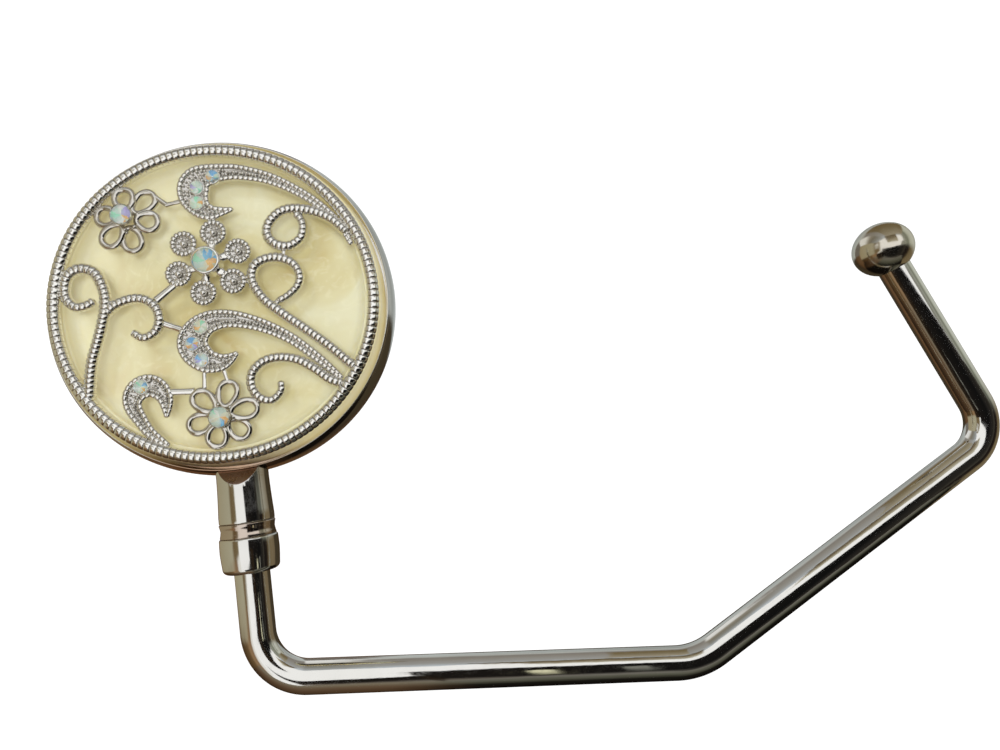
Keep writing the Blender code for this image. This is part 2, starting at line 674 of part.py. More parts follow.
def make_socket(silver, brass):
    """The brazed tube, saddled to the case and scarfed on its front, with the bush in its mouth."""
    length = TUBE_END - TUBE_START
    bore_depth = TUBE_END - BORE_START
    start = -OVERRUN
    profile = [(TUBE_MOUTH_RADIUS - EDGE_BREAK, length), (TUBE_MOUTH_RADIUS, length - EDGE_BREAK),
               (TUBE_MOUTH_RADIUS, length - MOUTH_LENGTH),
               (TUBE_RADIUS, length - MOUTH_LENGTH - MOUTH_TAPER), (TUBE_RADIUS, start), (0.0, start)]
    bore = [(0.0, length - bore_depth), (BORE_RADIUS, length - bore_depth), (BORE_RADIUS, length)]
    tube = turned("socket_tube", bore + profile, TURNED_STEPS)
    down_stem(tube, TUBE_START)
    saddle_reach = CASE_RADIUS + GAP
    top = STEM_Z + TUBE_MOUTH_RADIUS + OVERRUN
    saddle = add_helper(turned("saddle_cutter", [(0.0, top), (saddle_reach, top),
                                                 (saddle_reach, -OVERRUN), (0.0, -OVERRUN)],
                               SADDLE_STEPS))
    bpy.ops.mesh.primitive_cube_add(size=SCARF_CUTTER_SIDE)
    scarf = add_helper(take_primitive("scarf_cutter"))
    edge = Vector((0.0, -(TUBE_START + SCARF_LENGTH), STEM_Z + TUBE_RADIUS))
    slant = math.radians(SCARF_ANGLE_DEG)
    scarf.rotation_euler = (-slant, 0.0, 0.0)
    out = Vector((0.0, math.sin(slant), math.cos(slant)))
    scarf.location = edge + out * (SCARF_CUTTER_SIDE / 2)
    cut(tube, [saddle, scarf])
    add_part(tube, silver)

    barrel = BORE_RADIUS - GAP
    bore = SPIGOT_RADIUS + RUNNING_GAP
    flange = BAND_END - BAND_START
    profile = [(bore, flange), (BAND_RADIUS - EDGE_BREAK, flange), (BAND_RADIUS, flange - EDGE_BREAK),
               (BAND_RADIUS, EDGE_BREAK), (BAND_RADIUS - EDGE_BREAK, 0.0), (barrel, 0.0),
               (barrel, BUSH_START - BAND_START), (bore, BUSH_START - BAND_START)]
    bush = turned("neck_bush", profile, TURNED_STEPS)
    add_part(down_stem(bush, BAND_START), brass)


def bent_path(corners, radii, points):
    """Straight runs through the corners, with an arc of the given radius at each inner one."""
    found = [corners[0]]
    for before, corner, after, radius in zip(corners, corners[1:], corners[2:], radii):
        back = (before - corner).normalized()
        ahead = (after - corner).normalized()
        half = back.angle(ahead) / 2
        centre = corner + (back + ahead).normalized() * (radius / math.sin(half))
        first = corner + back * (radius / math.tan(half))
        last = corner + ahead * (radius / math.tan(half))
        turn = (first - centre).rotation_difference(last - centre)
        for i in range(points + 1):
            part = Quaternion(turn.axis, turn.angle * i / points)
            found.append(centre + part @ (first - centre))
    found.append(corners[-1])
    return found


def make_arm(silver, steel):
    axis = bpy.data.objects.new("swivel_axis", None)
    axis.empty_display_size = BALL_RADIUS
    axis.location = (0.0, -COLLAR_START, STEM_Z)
    PARTS.objects.link(axis)
    bpy.context.view_layer.update()

    def run(start, length, angle_deg):
        angle = math.radians(angle_deg)
        return start + length * Vector((math.cos(angle), math.sin(angle), 0.0))

    first = Vector((0.0, -FIRST_CORNER, STEM_Z))
    middle = run(first, LONG_RUN_LENGTH, LONG_RUN_ANGLE_DEG)
    last = run(middle, SLANT_RUN_LENGTH, SLANT_RUN_ANGLE_DEG)
    ball_centre = run(last, END_RUN_LENGTH, END_RUN_ANGLE_DEG)
    grip = BALL_GRIP_SHARE * BALL_RADIUS
    rod_end = run(last, END_RUN_LENGTH - grip, END_RUN_ANGLE_DEG)

    # Down the stem: peened head, spigot, shoulder inside the collar, then the rod
    slim = SPIGOT_RADIUS / ROD_RADIUS
    wide = HEAD_RADIUS / ROD_RADIUS
    shoulder = COLLAR_START + EDGE_BREAK
    steps = [
        (HEAD_START, wide - EDGE_BREAK / ROD_RADIUS), (HEAD_START + EDGE_BREAK, wide),
        (HEAD_START + HEAD_THICKNESS - EDGE_BREAK, wide), (HEAD_START + HEAD_THICKNESS, slim),
        (shoulder, slim), (shoulder + EDGE_BREAK, 1.0),
    ]
    path = [Vector((0.0, -distance, STEM_Z)) for distance, share in steps]
    shares = [share for distance, share in steps]
    radii = (FIRST_BEND_RADIUS, MIDDLE_BEND_RADIUS, LAST_BEND_RADIUS)
    bends = bent_path([path[-1], first, middle, last, rod_end], radii, BEND_POINTS)[1:]
    path += bends
    shares += [1.0] * len(bends)
    origin = axis.location
    rod = wire_curve("arm_rod", [p - origin for p in path], ROD_RADIUS, shares, level=ROD_SIDES_LEVEL)
    add_part(rod, silver, axis)

    collar_bore = ROD_RADIUS + GAP
    lower = arc((COLLAR_RADIUS - COLLAR_LOWER_ROUND, COLLAR_LENGTH - COLLAR_LOWER_ROUND),
                COLLAR_LOWER_ROUND, 90.0, 0.0, ROUND_POINTS)
    profile = [(collar_bore, COLLAR_LENGTH)] + lower + [
        (COLLAR_RADIUS, COLLAR_UPPER_ROUND), (COLLAR_RADIUS - COLLAR_UPPER_ROUND, 0.0), (collar_bore, 0.0)]
    collar = turned("swivel_collar", profile, TURNED_STEPS)
    add_part(down_stem(collar, COLLAR_START), silver, axis)
    collar.location = (0.0, 0.0, 0.0)

    outer = HEAD_RADIUS
    bore = SPIGOT_RADIUS + GAP
    profile = [(bore, WASHER_THICKNESS), (outer, WASHER_THICKNESS), (outer, 0.0), (bore, 0.0)]
    washer = turned("retaining_washer", profile, TURNED_STEPS)
    add_part(down_stem(washer, WASHER_START), steel, axis)
    washer.location = (0.0, COLLAR_START - WASHER_START, 0.0)

    # The ball is a little flattened along the rod, with a blind bore for its end
    hole = ROD_RADIUS + GAP
    long_half = BALL_RADIUS * BALL_FLAT_SHARE
    mouth_deg = -math.degrees(math.acos(hole / BALL_RADIUS))
    profile = [(x, z * BALL_FLAT_SHARE) for x, z in arc((0.0, 0.0), BALL_RADIUS, 90.0, mouth_deg, BALL_POINTS)]
    profile[0] = (0.0, long_half)
    profile += [(hole, GAP - grip), (0.0, GAP - grip)]
    ball = turned("end_ball", profile, TURNED_STEPS)
    add_part(ball, silver, axis)
    ball.rotation_euler = (0.0, math.radians(90.0), math.radians(END_RUN_ANGLE_DEG))
    ball.location = ball_centre - origin


def build():
    global PARTS, CUTTERS
    clear_scene()
    PARTS = new_collection("purse_hook")
    CUTTERS = new_collection("purse_hook_cutters")
    CUTTERS.hide_render = True
    silver = material("bright_plating", (0.78, 0.77, 0.74), 1.0, 0.12)
    steel = material("steel", (0.60, 0.60, 0.60), 1.0, 0.35)
    brass = material("plated_bush", (0.62, 0.55, 0.47), 1.0, 0.25)
    resin = material("ivory_resin", (0.84, 0.80, 0.60), 0.0, 0.22)
    rubber = material("grip_rubber", (0.05, 0.05, 0.05), 0.0, 0.85)
    crystal = material("iridescent_crystal", (0.80, 0.86, 0.84), 0.0, 0.05)
    make_head(silver, resin, rubber)
    make_filigree(silver, crystal)
    make_socket(silver, brass)
    make_arm(silver, steel)


build()
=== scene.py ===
"""Looks of the table-top purse hook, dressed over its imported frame.

The plated openwork gets its fine milling, beads and grain as geometry, the turned and bent
pieces get smooth surfaces, and every surface gets a procedural material. Lengths are in
metres, in the frame of the solids: the head faces +Z, the stem runs towards -Y.
"""

import math
import random

import bmesh
import bpy
from mathutils import Matrix, Quaternion, Vector


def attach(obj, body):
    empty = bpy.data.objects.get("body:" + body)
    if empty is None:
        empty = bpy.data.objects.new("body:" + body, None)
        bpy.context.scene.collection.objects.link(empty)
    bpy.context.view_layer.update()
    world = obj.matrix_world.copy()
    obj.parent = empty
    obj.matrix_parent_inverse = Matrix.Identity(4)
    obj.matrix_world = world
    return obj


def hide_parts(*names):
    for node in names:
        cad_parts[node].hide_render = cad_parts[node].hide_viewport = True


MM = 0.001
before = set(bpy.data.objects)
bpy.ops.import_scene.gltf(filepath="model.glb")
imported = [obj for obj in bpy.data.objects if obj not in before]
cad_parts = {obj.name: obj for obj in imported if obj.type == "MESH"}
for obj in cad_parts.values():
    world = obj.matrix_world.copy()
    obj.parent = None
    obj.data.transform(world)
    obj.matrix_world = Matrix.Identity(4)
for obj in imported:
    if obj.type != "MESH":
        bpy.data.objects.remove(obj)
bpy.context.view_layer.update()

# Heights and radii of the solids that the dressing follows, in millimetres
WIRE_Z = 9.6
FIELD = 18.9
RING_RADIUS = 19.78
RING_SHIFT = (0.20, -0.28)
STEM_Z = 4.4
CASE_BACK_Z, RECESS_Z, CASE_FLOOR_Z, CASE_LIP_Z = 0.6, 1.3, 2.2, 6.8
DISH_RIM_Z, DISH_FLOOR_Z = 8.5, 6.6
CASE_RADIUS, CASE_WALL, CASE_CORNER = 22.5, 0.9, 1.4
DISH_RADIUS, DISH_TAPER, DISH_COVE = 21.3, 0.4, 1.3
WALL_START = 20.6
LIP_HALF, SHOULDER_ROUND, SHOULDER_Z = 0.10, 6.36, 3.8
PAD_RADIUS, PAD_THICKNESS = 17.0, 1.0
TUBE_START, BORE_START, TUBE_END = 22.8, 24.1, 28.68
BAND_START, BAND_END = 28.71, 30.53
COLLAR_START, COLLAR_END = 30.55, 35.1
SCARF_START, SCARF_DEG = 0.85, 33.0
TUBE_R, MOUTH_R, BAND_R, COLLAR_R = 3.3, 3.5, 3.55, 3.75
ROD_R, SPIGOT_R, PEEN_R, PEEN_START, PEEN_LENGTH = 2.25, 1.5, 2.1, 24.4, 0.8
BALL_R, BALL_FLAT, BALL_GRIP = 4.25, 0.89, 0.45
ROD_HOLE_R = ROD_R + 0.02
SEAT_Z = WIRE_Z + 1.4
# The arm: the stem's length to its bend, each run's length and direction, and the bends' radii
STEM_LENGTH = 48.8
ARM_RUNS = [(57.6, -6.7), (54.1, 27.2), (31.1, 112.7)]
BEND_RADII = (6.6, 10.1, 6.05)
# Fine shapes that only the dressing has, in millimetres
RIB_PITCH, GROOVE_DEPTH = 1.3, 0.13
RECESS_EDGE, RIM_ROUND, SWELL = 0.12, 0.35, 0.045
RING_WIRE = 0.80
BEAD_ROW_PITCH, STONE_CLEARANCE = 0.42, 1.12
SOCKET_SHARP_DEG = 40.0

# Where the neck is soldered to the case, and how far the painted shade and painted brown reflection about it
# reach (metres)
NECK_JOINT = (-0.0028, -0.0222, 0.0060)
NECK_SHADE_REACH = 0.0130
# The place round which the resin gets least painted light, and how near and far the painted light begins and
# ends
PAINTED_LIGHT_CENTRE = (0.0085, -0.0010, 0.0066)
PAINTED_LIGHT_REACH = (0.013, 0.0245)
# Painted shade in the grooves of the plating and on the undersides of its grains
GROOVE_SHADE = (0.14, 0.10, 0.07)

# Milling
RING_RIDGES = 158
RIDGE_PITCH = 0.63
STATIONS_PER_RIDGE = 10

# Drawn and turned surfaces carry their marks along the piece, so lengths along it count less
LAY_STRETCH = 0.05


class Form:
    """Points (mm) with the share of painted shade each takes (how deep in a groove, how far down a grain),
    where in the metal's lay each is, and the faces.
    """

    def __init__(self, place=Matrix.Identity(4)):
        self.points = []
        self.faces = []
        self.grooves = []
        self.lays = []
        self.place = place

    def loop(self, points, groove=0.0, lays=None):
        start = len(self.points)
        self.points += [self.place @ p for p in points]
        self.grooves += [groove] * len(points)
        self.lays += lays or [Vector((p.x, p.y, LAY_STRETCH * p.z)) for p in points]
        return range(start, start + len(points))

    def skin(self, loops, closed=False):
        pairs = list(zip(loops, loops[1:]))
        if closed:
            pairs.append((loops[-1], loops[0]))
        for here, there in pairs:
            count = len(here)
            for k in range(count):
                n = (k + 1) % count
                self.faces.append((here[k], here[n], there[n], there[k]))
        if not closed:
            self.faces.append(tuple(reversed(loops[0])))
            self.faces.append(tuple(loops[-1]))

    def tube(self, path, radii, sides, closed=False, grooves=None, squash=1.0):
        """A round wire through points in a plane of constant z, with a radius at each."""
        loops = []
        count = len(path)
        along = 0.0
        for i, place in enumerate(path):
            along += (place - path[max(0, i - 1)]).length
            if closed:
                ahead = path[(i + 1) % count] - path[i - 1]
            else:
                ahead = path[min(count - 1, i + 1)] - path[max(0, i - 1)]
            ahead.z = 0.0
            aside = Vector((ahead.y, -ahead.x, 0.0)).normalized()
            found = []
            lays = []
            for p in circle(radii[i], sides):
                found.append(place + aside * p.x + Vector((0.0, 0.0, squash * p.y)))
                lays.append(Vector((p.x, p.y, LAY_STRETCH * along)))
            loops.append(self.loop(found, grooves[i] if grooves else 0.0, lays))
        self.skin(loops, closed)

    def turned(self, profile, steps, grooves=None):
        """A profile of (radius, height), from the top down its outer side, turned about Z."""
        loops = []
        for i, (r, z) in enumerate(profile):
            ring = circle(r, steps, z) if r > 1e-6 else [Vector((0.0, 0.0, z))]
            loops.append(self.loop(ring, grooves[i] if grooves else 0.0))
        pairs = list(zip(loops, loops[1:]))
        if len(loops[0]) > 1 and len(loops[-1]) > 1:
            pairs.append((loops[-1], loops[0]))
        for here, there in pairs:
            for k in range(steps):
                n = (k + 1) % steps
                corners = [here[k % len(here)], there[k % len(there)],
                           there[n % len(there)], here[n % len(here)]]
                # A face with two corners in one point on the axis is a triangle
                self.faces.append(tuple(dict.fromkeys(corners)))

    def bead(self, place, radius, rise=1.0, sides=8, rows=5):
        """A small round grain, with painted shade darker towards its underside."""
        profile = []
        for i in range(rows + 1):
            a = math.pi * i / rows
            profile.append((radius * math.sin(a) if 0 < i < rows else 0.0,
                            radius * rise * math.cos(a)))
        kept = self.place
        self.place = kept @ Matrix.Translation(place)
        self.turned(profile, sides, [0.7 * i / rows for i in range(rows + 1)])
        self.place = kept

    def mesh(self, name, sharp_deg=None):
        mesh = bpy.data.meshes.new(name)
        mesh.from_pydata([p * MM for p in self.points], [], self.faces)
        attribute = mesh.attributes.new("groove", "FLOAT", "POINT")
        attribute.data.foreach_set("value", self.grooves)
        lay = mesh.attributes.new("lay", "FLOAT_VECTOR", "POINT")
        lay.data.foreach_set("vector", [v for place in self.lays for v in place])
        mesh.shade_smooth()
        if sharp_deg:
            mesh.set_sharp_from_angle(angle=math.radians(sharp_deg))
        tidy_normals(mesh)
        return mesh


def tidy_normals(mesh):
    """Turns all faces of a mesh outward."""
    form = bmesh.new()
    form.from_mesh(mesh)
    bmesh.ops.recalc_face_normals(form, faces=form.faces)
    form.to_mesh(mesh)
    form.free()


def new_object(name, data):
    obj = bpy.data.objects.new(name, data)
    bpy.context.scene.collection.objects.link(obj)
    return obj


def piece(name, mesh, mat, node, body="head", slot="bright_plating"):
    """One finished piece: it rides on its body and stands for the node named."""
    obj = new_object(name, mesh)
    if mat is not None:
        mesh.materials.append(mat)
    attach(obj, body)
    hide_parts(node)


def form_piece(form, name, mat, node, sharp_deg=None, **kind):
    piece(name, form.mesh(name, sharp_deg), mat, node, **kind)


def turned_piece(profile, steps, name, mat, node, sharp_deg, place=Matrix.Identity(4), **kind):
    form = Form(place)
    form.turned(profile, steps)
    form_piece(form, name, mat, node, sharp_deg, **kind)


def circle(radius, count, z=0.0, shift=0.0, centre=(0.0, 0.0), turn=0.0):
    """Points round a circle from the turn (radians) on, moved ahead by a share of their step."""
    found = []
    for k in range(count):
        a = turn + math.tau * (k + shift) / count
        found.append(Vector((centre[0] + radius * math.cos(a), centre[1] + radius * math.sin(a), z)))
    return found


def catmull(points, step):
    """A smooth path through the points, sampled at about the step. Points may carry a width."""
    ends = [2 * points[0] - points[1]] + points + [2 * points[-1] - points[-2]]
    dense = []
    fine = 40
    for i in range(1, len(ends) - 2):
        a, b, c, d = ends[i - 1:i + 3]
        for k in range(fine):
            t = k / fine
            dense.append(0.5 * (2 * b + (c - a) * t + (2 * a - 5 * b + 4 * c - d) * t ** 2
                                + (3 * b - a - 3 * c + d) * t ** 3))
    return resample(dense + [points[-1]], step)


def resample(dense, step):
    """The same path with its points spaced evenly, at about the step."""
    run = [0.0]
    for p, q in zip(dense, dense[1:]):
        run.append(run[-1] + (q.to_3d() - p.to_3d()).length)
    count = max(2, round(run[-1] / step))
    found = []
    k = 0
    for i in range(count + 1):
        want = run[-1] * i / count
        while k < len(run) - 2 and run[k + 1] < want:
            k += 1
        t = (want - run[k]) / max(1e-9, run[k + 1] - run[k])
        found.append(dense[k].lerp(dense[k + 1], min(1.0, t)))
    return found


def flat(points, z=WIRE_Z):
    return [Vector((x, y, z)) for x, y in points]


def arc(centre, radius, start_deg, end_deg, points):
    found = []
    for i in range(points + 1):
        a = math.radians(start_deg + (end_deg - start_deg) * i / points)
        found.append((centre[0] + radius * math.cos(a), centre[1] + radius * math.sin(a)))
    return found


def crest(i):
    """Height of the milling at a station: 0 in a narrow groove, 1 on a broad ridge."""
    u = (i % STATIONS_PER_RIDGE) / STATIONS_PER_RIDGE
    return math.sqrt(max(0.0, 1.0 - abs(2 * u - 1) ** 3.5))


def ridge_wire(form, path, radius, depth, sides, closed=False, tips=(1.0, 1.0), taper=0.3):
    """A wire milled into rounded ridges, with rounded ends that may draw down to a tip."""
    count = len(path)
    radii = []
    grooves = []
    for i in range(count):
        high = crest(i)
        r = radius * (1.0 - depth * (1.0 - high))
        if not closed:
            first, last = i / count, (count - 1 - i) / count
            r *= tips[0] + (1.0 - tips[0]) * min(1.0, first / taper)
            r *= tips[1] + (1.0 - tips[1]) * min(1.0, last / taper)
            end = min(i, count - 1 - i) / (STATIONS_PER_RIDGE / 2)
            if end < 1.0:
                r *= max(0.25, math.sqrt(1.0 - (1.0 - end) ** 2))
        radii.append(r)
        # The grooves between the ridges take the painted shade
        grooves.append(1.0 - high)
    form.tube(path, radii, sides, closed, grooves)


# Materials


def put(node, values):
    """Each input named takes a value or another node's output. Colours are given without alpha."""
    for name, value in values.items():
        socket = node.inputs[name]
        if isinstance(value, bpy.types.NodeSocket):
            node.id_data.links.new(value, socket)
        elif socket.type == "RGBA":
            socket.default_value = (*value, 1.0)
        else:
            socket.default_value = value


def add_node(tree, kind, values=None, **settings):
    node = tree.nodes.new("ShaderNode" + kind)
    for name, value in settings.items():
        setattr(node, name, value)
    put(node, values or {})
    return node


def new_material(name):
    mat = bpy.data.materials.new(name)
    mat.use_nodes = True
    return mat, mat.node_tree, mat.node_tree.nodes["Principled BSDF"]


def attribute(tree, name, output):
    return add_node(tree, "Attribute", attribute_name=name).outputs[output]


def noise(tree, scale, detail=3.0, coords=None, distortion=0.0):
    if coords is None:
        coords = add_node(tree, "TexCoord").outputs["Object"]
    values = {"Scale": scale, "Detail": detail, "Distortion": distortion, "Vector": coords}
    return add_node(tree, "TexNoise", values).outputs["Fac"]


def ramp(tree, value, stops):
    """The tones, each a colour or one number for a grey, at their places along a value."""
    node = add_node(tree, "ValToRGB", {"Fac": value})
    while len(node.color_ramp.elements) < len(stops):
        node.color_ramp.elements.new(0.5)
    for element, (at, tone) in zip(node.color_ramp.elements, stops):
        element.position = at
        element.color = (*tone, 1.0) if isinstance(tone, tuple) else (tone, tone, tone, 1.0)
    return node.outputs["Color"]


def mix(tree, factor, a, b):
    """The colour a, or b where the factor is 1. Sockets 6 and 7 are the node's two colours."""
    return add_node(tree, "Mix", {"Factor": factor, 6: a, 7: b}, data_type="RGBA").outputs[2]


def climb(tree, value, start, end, low=0.0, high=1.0, course="LINEAR"):
    """A number that goes from low to high while the value goes from start to end."""
    values = {"Value": value, "From Min": start, "From Max": end, "To Min": low, "To Max": high}
    return add_node(tree, "MapRange", values, interpolation_type=course).outputs["Result"]


def bump(tree, shader, height, strength, distance):
    node = add_node(tree, "Bump", {"Strength": strength, "Distance": distance, "Height": height})
    put(shader, {"Normal": node.outputs["Normal"]})
    return node


def plating(name, colour, dull, rough, wave, groove_shade_share=0.0, streak=0.0, neck_shade=0.0):
    """Bright plating: slow colour drift, polish that varies, faint waviness, painted shade in the grooves,
    and painted shade and brown reflection about the neck where asked.
    """
    mat, tree, shader = new_material(name)
    base = mix(tree, noise(tree, 260.0, 4.0), colour, dull)
    # Painted shade, darkest in the grooves and under the grains
    if groove_shade_share:
        share = ramp(tree, attribute(tree, "groove", "Fac"), [(0.30, 0.0), (0.95, groove_shade_share)])
        base = mix(tree, share, base, GROOVE_SHADE)
    # Painted shade and brown reflection about the neck
    if neck_shade:
        base = neck_shade_tint(tree, base, (0.50, 0.30, 0.17), neck_shade)
    polish = ramp(tree, noise(tree, 900.0, 6.0), [(0.35, rough[0]), (0.75, rough[1])])
    put(shader, {"Metallic": 1.0, "Base Color": base, "Roughness": polish})
    uneven = bump(tree, shader, noise(tree, 170.0, 2.0), wave, 0.0001)
    if streak:
        drawn = noise(tree, 1.9, 4.0, attribute(tree, "lay", "Vector"))
        marks = bump(tree, shader, drawn, streak, 0.00001)
        put(marks, {"Normal": uneven.outputs["Normal"]})
    return mat


def spread_from(tree, place, near, far, low=0.0, high=1.0):
    """Low within the near distance of a place, rising to high at the far one."""
    where = add_node(tree, "TexCoord").outputs["Object"]
    reach = add_node(tree, "VectorMath", {0: where, 1: place}, operation="DISTANCE")
    return climb(tree, reach.outputs["Value"], near, far, low, high)


def neck_shade_tint(tree, base, tone, most):
    """The base darkened and browned about the neck's joint: painted shade and painted brown reflection."""
    away_from_neck = spread_from(tree, NECK_JOINT, 0.0, NECK_SHADE_REACH)
    share = ramp(tree, away_from_neck, [(0.35, most), (0.65, 0.5 * most), (1.0, 0.0)])
    return mix(tree, share, base, tone)


def resin_material(name, neck_shade=0.0):
    """Pearly poured resin: cream clouded with darker honey and paler milk, under a clear gloss."""
    mat, tree, shader = new_material(name)
    clouds = noise(tree, 85.0, 3.0, distortion=1.1)
    base = ramp(tree, clouds, [(0.28, (0.40, 0.31, 0.12)), (0.40, (0.465, 0.425, 0.225)),
                               (0.52, (0.515, 0.49, 0.295)), (0.68, (0.57, 0.57, 0.41))])
    streaks = noise(tree, 380.0, 4.0, distortion=2.5)
    base = mix(tree, ramp(tree, streaks, [(0.52, 0.0), (0.70, 0.28)]), base, (0.66, 0.66, 0.52))
    # Painted light: paler away from a place right of the middle, which lifts the shade that the ring casts
    # near the rim
    base = mix(tree, spread_from(tree, PAINTED_LIGHT_CENTRE, *PAINTED_LIGHT_REACH, 0.0, 0.52), base, (0.63, 0.65, 0.52))
    # Painted shade and brown reflection about the neck
    if neck_shade:
        base = neck_shade_tint(tree, base, (0.30, 0.19, 0.08), neck_shade)
    # Painted glow: warm emission that lifts the shade under the wires to honey, stronger away from the same
    # place, stronger still on the outer wall and dark about the neck there; it stands for light given back
    # from the translucent depth
    depth = mix(tree, 0.6, base, (0.80, 0.58, 0.22))
    if neck_shade:
        depth = neck_shade_tint(tree, depth, (0.0, 0.0, 0.0), 1.0)
        glow = 0.46
    else:
        glow = spread_from(tree, PAINTED_LIGHT_CENTRE, *PAINTED_LIGHT_REACH, 0.21, 0.32)
    put(shader, {"Base Color": base, "Emission Color": depth, "Emission Strength": glow,
                 "Roughness": 0.35, "Subsurface Weight": 0.60, "Subsurface Radius": (1.0, 0.85, 0.5),
                 "Subsurface Scale": 0.0022, "Coat Weight": 0.8, "Coat Roughness": 0.05,
                 "Coat IOR": 1.45})
    bump(tree, shader, noise(tree, 210.0, 2.0), 0.5, 0.00012)
    return mat


def rubber_material():
    mat, tree, shader = new_material("grip_rubber")
    speckle = noise(tree, 1400.0, 4.0)
    base = ramp(tree, speckle, [(0.3, (0.035, 0.035, 0.036)), (0.7, (0.065, 0.064, 0.062))])
    put(shader, {"Base Color": base, "Roughness": ramp(tree, speckle, [(0.3, 0.75), (0.7, 0.92)])})
    bump(tree, shader, noise(tree, 2600.0, 3.0), 0.4, 0.00005)
    return mat


def crystal_material(name, clear, metal, rough, glow):
    """A facet takes the tint that the mesh gives it, under a faint cloud: partly the iridescent coat's own
    colour, partly painted glints.
    """
    mat, tree, shader = new_material(name)
    tint = attribute(tree, "tint", "Color")
    share = ramp(tree, noise(tree, 1300.0, 2.0), [(0.40, 0.0), (0.75, 0.20)])
    # The emission is a painted glow of the facet's tint
    put(shader, {"Base Color": mix(tree, share, tint, (0.86, 0.91, 0.84)), "Emission Color": tint,
                 "Emission Strength": glow, "Transmission Weight": clear, "Metallic": metal,
                 "Roughness": rough, "IOR": 1.56})
    bump(tree, shader, noise(tree, 1800.0, 2.0), 0.03, 0.00002)
    return mat


ROD = plating("rod_plating", (0.86, 0.85, 0.82), (0.78, 0.77, 0.73), (0.06, 0.15), 0.45, streak=1.4)
CASTING = plating("cast_plating", (0.95, 0.94, 0.91), (0.82, 0.80, 0.75), (0.05, 0.15), 0.40,
                  groove_shade_share=0.85)
# The wire petals' plating: a darker, browner copy of the cast plating, painted shade that greys them
LOOPS = plating("loop_plating", (0.88, 0.87, 0.83), (0.56, 0.51, 0.43), (0.08, 0.22), 1.20)
CASE = plating("case_plating", (0.84, 0.83, 0.80), (0.74, 0.73, 0.69), (0.06, 0.14), 0.30, streak=0.5)
# The case's plating, with painted shade and brown reflection about the neck
SHELL = plating("shell_plating", (0.84, 0.83, 0.80), (0.70, 0.68, 0.63), (0.07, 0.18), 0.60,
                streak=0.7, neck_shade=0.85)
BUSH = plating("bush_plating", (0.70, 0.60, 0.52), (0.58, 0.49, 0.42), (0.10, 0.20), 0.30, streak=0.5)
BALL = plating("ball_plating", (0.80, 0.77, 0.69), (0.64, 0.59, 0.49), (0.10, 0.22), 1.10)
BRAZE = plating("brazed_cut", (0.44, 0.31, 0.24), (0.30, 0.20, 0.15), (0.22, 0.40), 0.60)
STEEL = plating("washer_steel", (0.60, 0.60, 0.60), (0.50, 0.50, 0.50), (0.28, 0.42), 0.30)
RESIN = resin_material("pearl_resin")
# The resin's outer wall: painted shade and brown reflection about the neck, and a stronger painted glow
RESIN_EDGE = resin_material("pearl_resin_edge", neck_shade=0.85)
RUBBER = rubber_material()
# The clear crown of a stone, and its foiled pavilion, which glows faintly with painted light
CROWN = crystal_material("crystal_crown", clear=0.85, metal=0.0, rough=0.02, glow=0.0)
FOIL = crystal_material("crystal_foil", clear=0.0, metal=0.12, rough=0.20, glow=0.06)


# Head: pad, case, resin and ring


def make_pad():
    """The rubber disc, with round ribs on its underside."""
    top = PAD_THICKNESS
    profile = [(0.0, top), (PAD_RADIUS - 0.35, top), (PAD_RADIUS - 0.1, top - 0.05)]
    profile += arc((PAD_RADIUS - 0.25, 0.25), 0.25, 0.0, -90.0, 6)
    r = PAD_RADIUS - 0.9
    while r > 1.2:
        profile += [(r, 0.0), (r - 0.1, GROOVE_DEPTH), (r - 0.4, GROOVE_DEPTH), (r - 0.5, 0.0)]
        r -= RIB_PITCH
    turned_piece(profile + [(0.0, 0.0)], 128, "grip_pad_ribbed", RUBBER, "grip_pad", 30.0, slot="grip_rubber")


def make_case():
    """The plated cup, with a thin rolled lip, a round shoulder and a recess for the pad."""
    inner = CASE_RADIUS - CASE_WALL
    recess = PAD_RADIUS + 0.3
    lean = math.degrees(math.asin((CASE_LIP_Z - LIP_HALF - SHOULDER_Z) / SHOULDER_ROUND))
    profile = [(0.0, CASE_FLOOR_Z), (inner, CASE_FLOOR_Z)]
    profile += arc((inner + LIP_HALF, CASE_LIP_Z - LIP_HALF), LIP_HALF, 180.0, 0.0, 8)
    profile += arc((CASE_RADIUS - SHOULDER_ROUND, SHOULDER_Z), SHOULDER_ROUND, lean, 0.0, 12)[1:]
    profile += arc((CASE_RADIUS - CASE_CORNER, CASE_BACK_Z + CASE_CORNER), CASE_CORNER, 0.0, -90.0, 12)
    profile += [(recess + RECESS_EDGE, CASE_BACK_Z), (recess, CASE_BACK_Z + RECESS_EDGE),
                (recess, RECESS_Z), (0.0, RECESS_Z)]
    turned_piece(profile, 256, "case_shell", SHELL, "case_cup", 40.0)


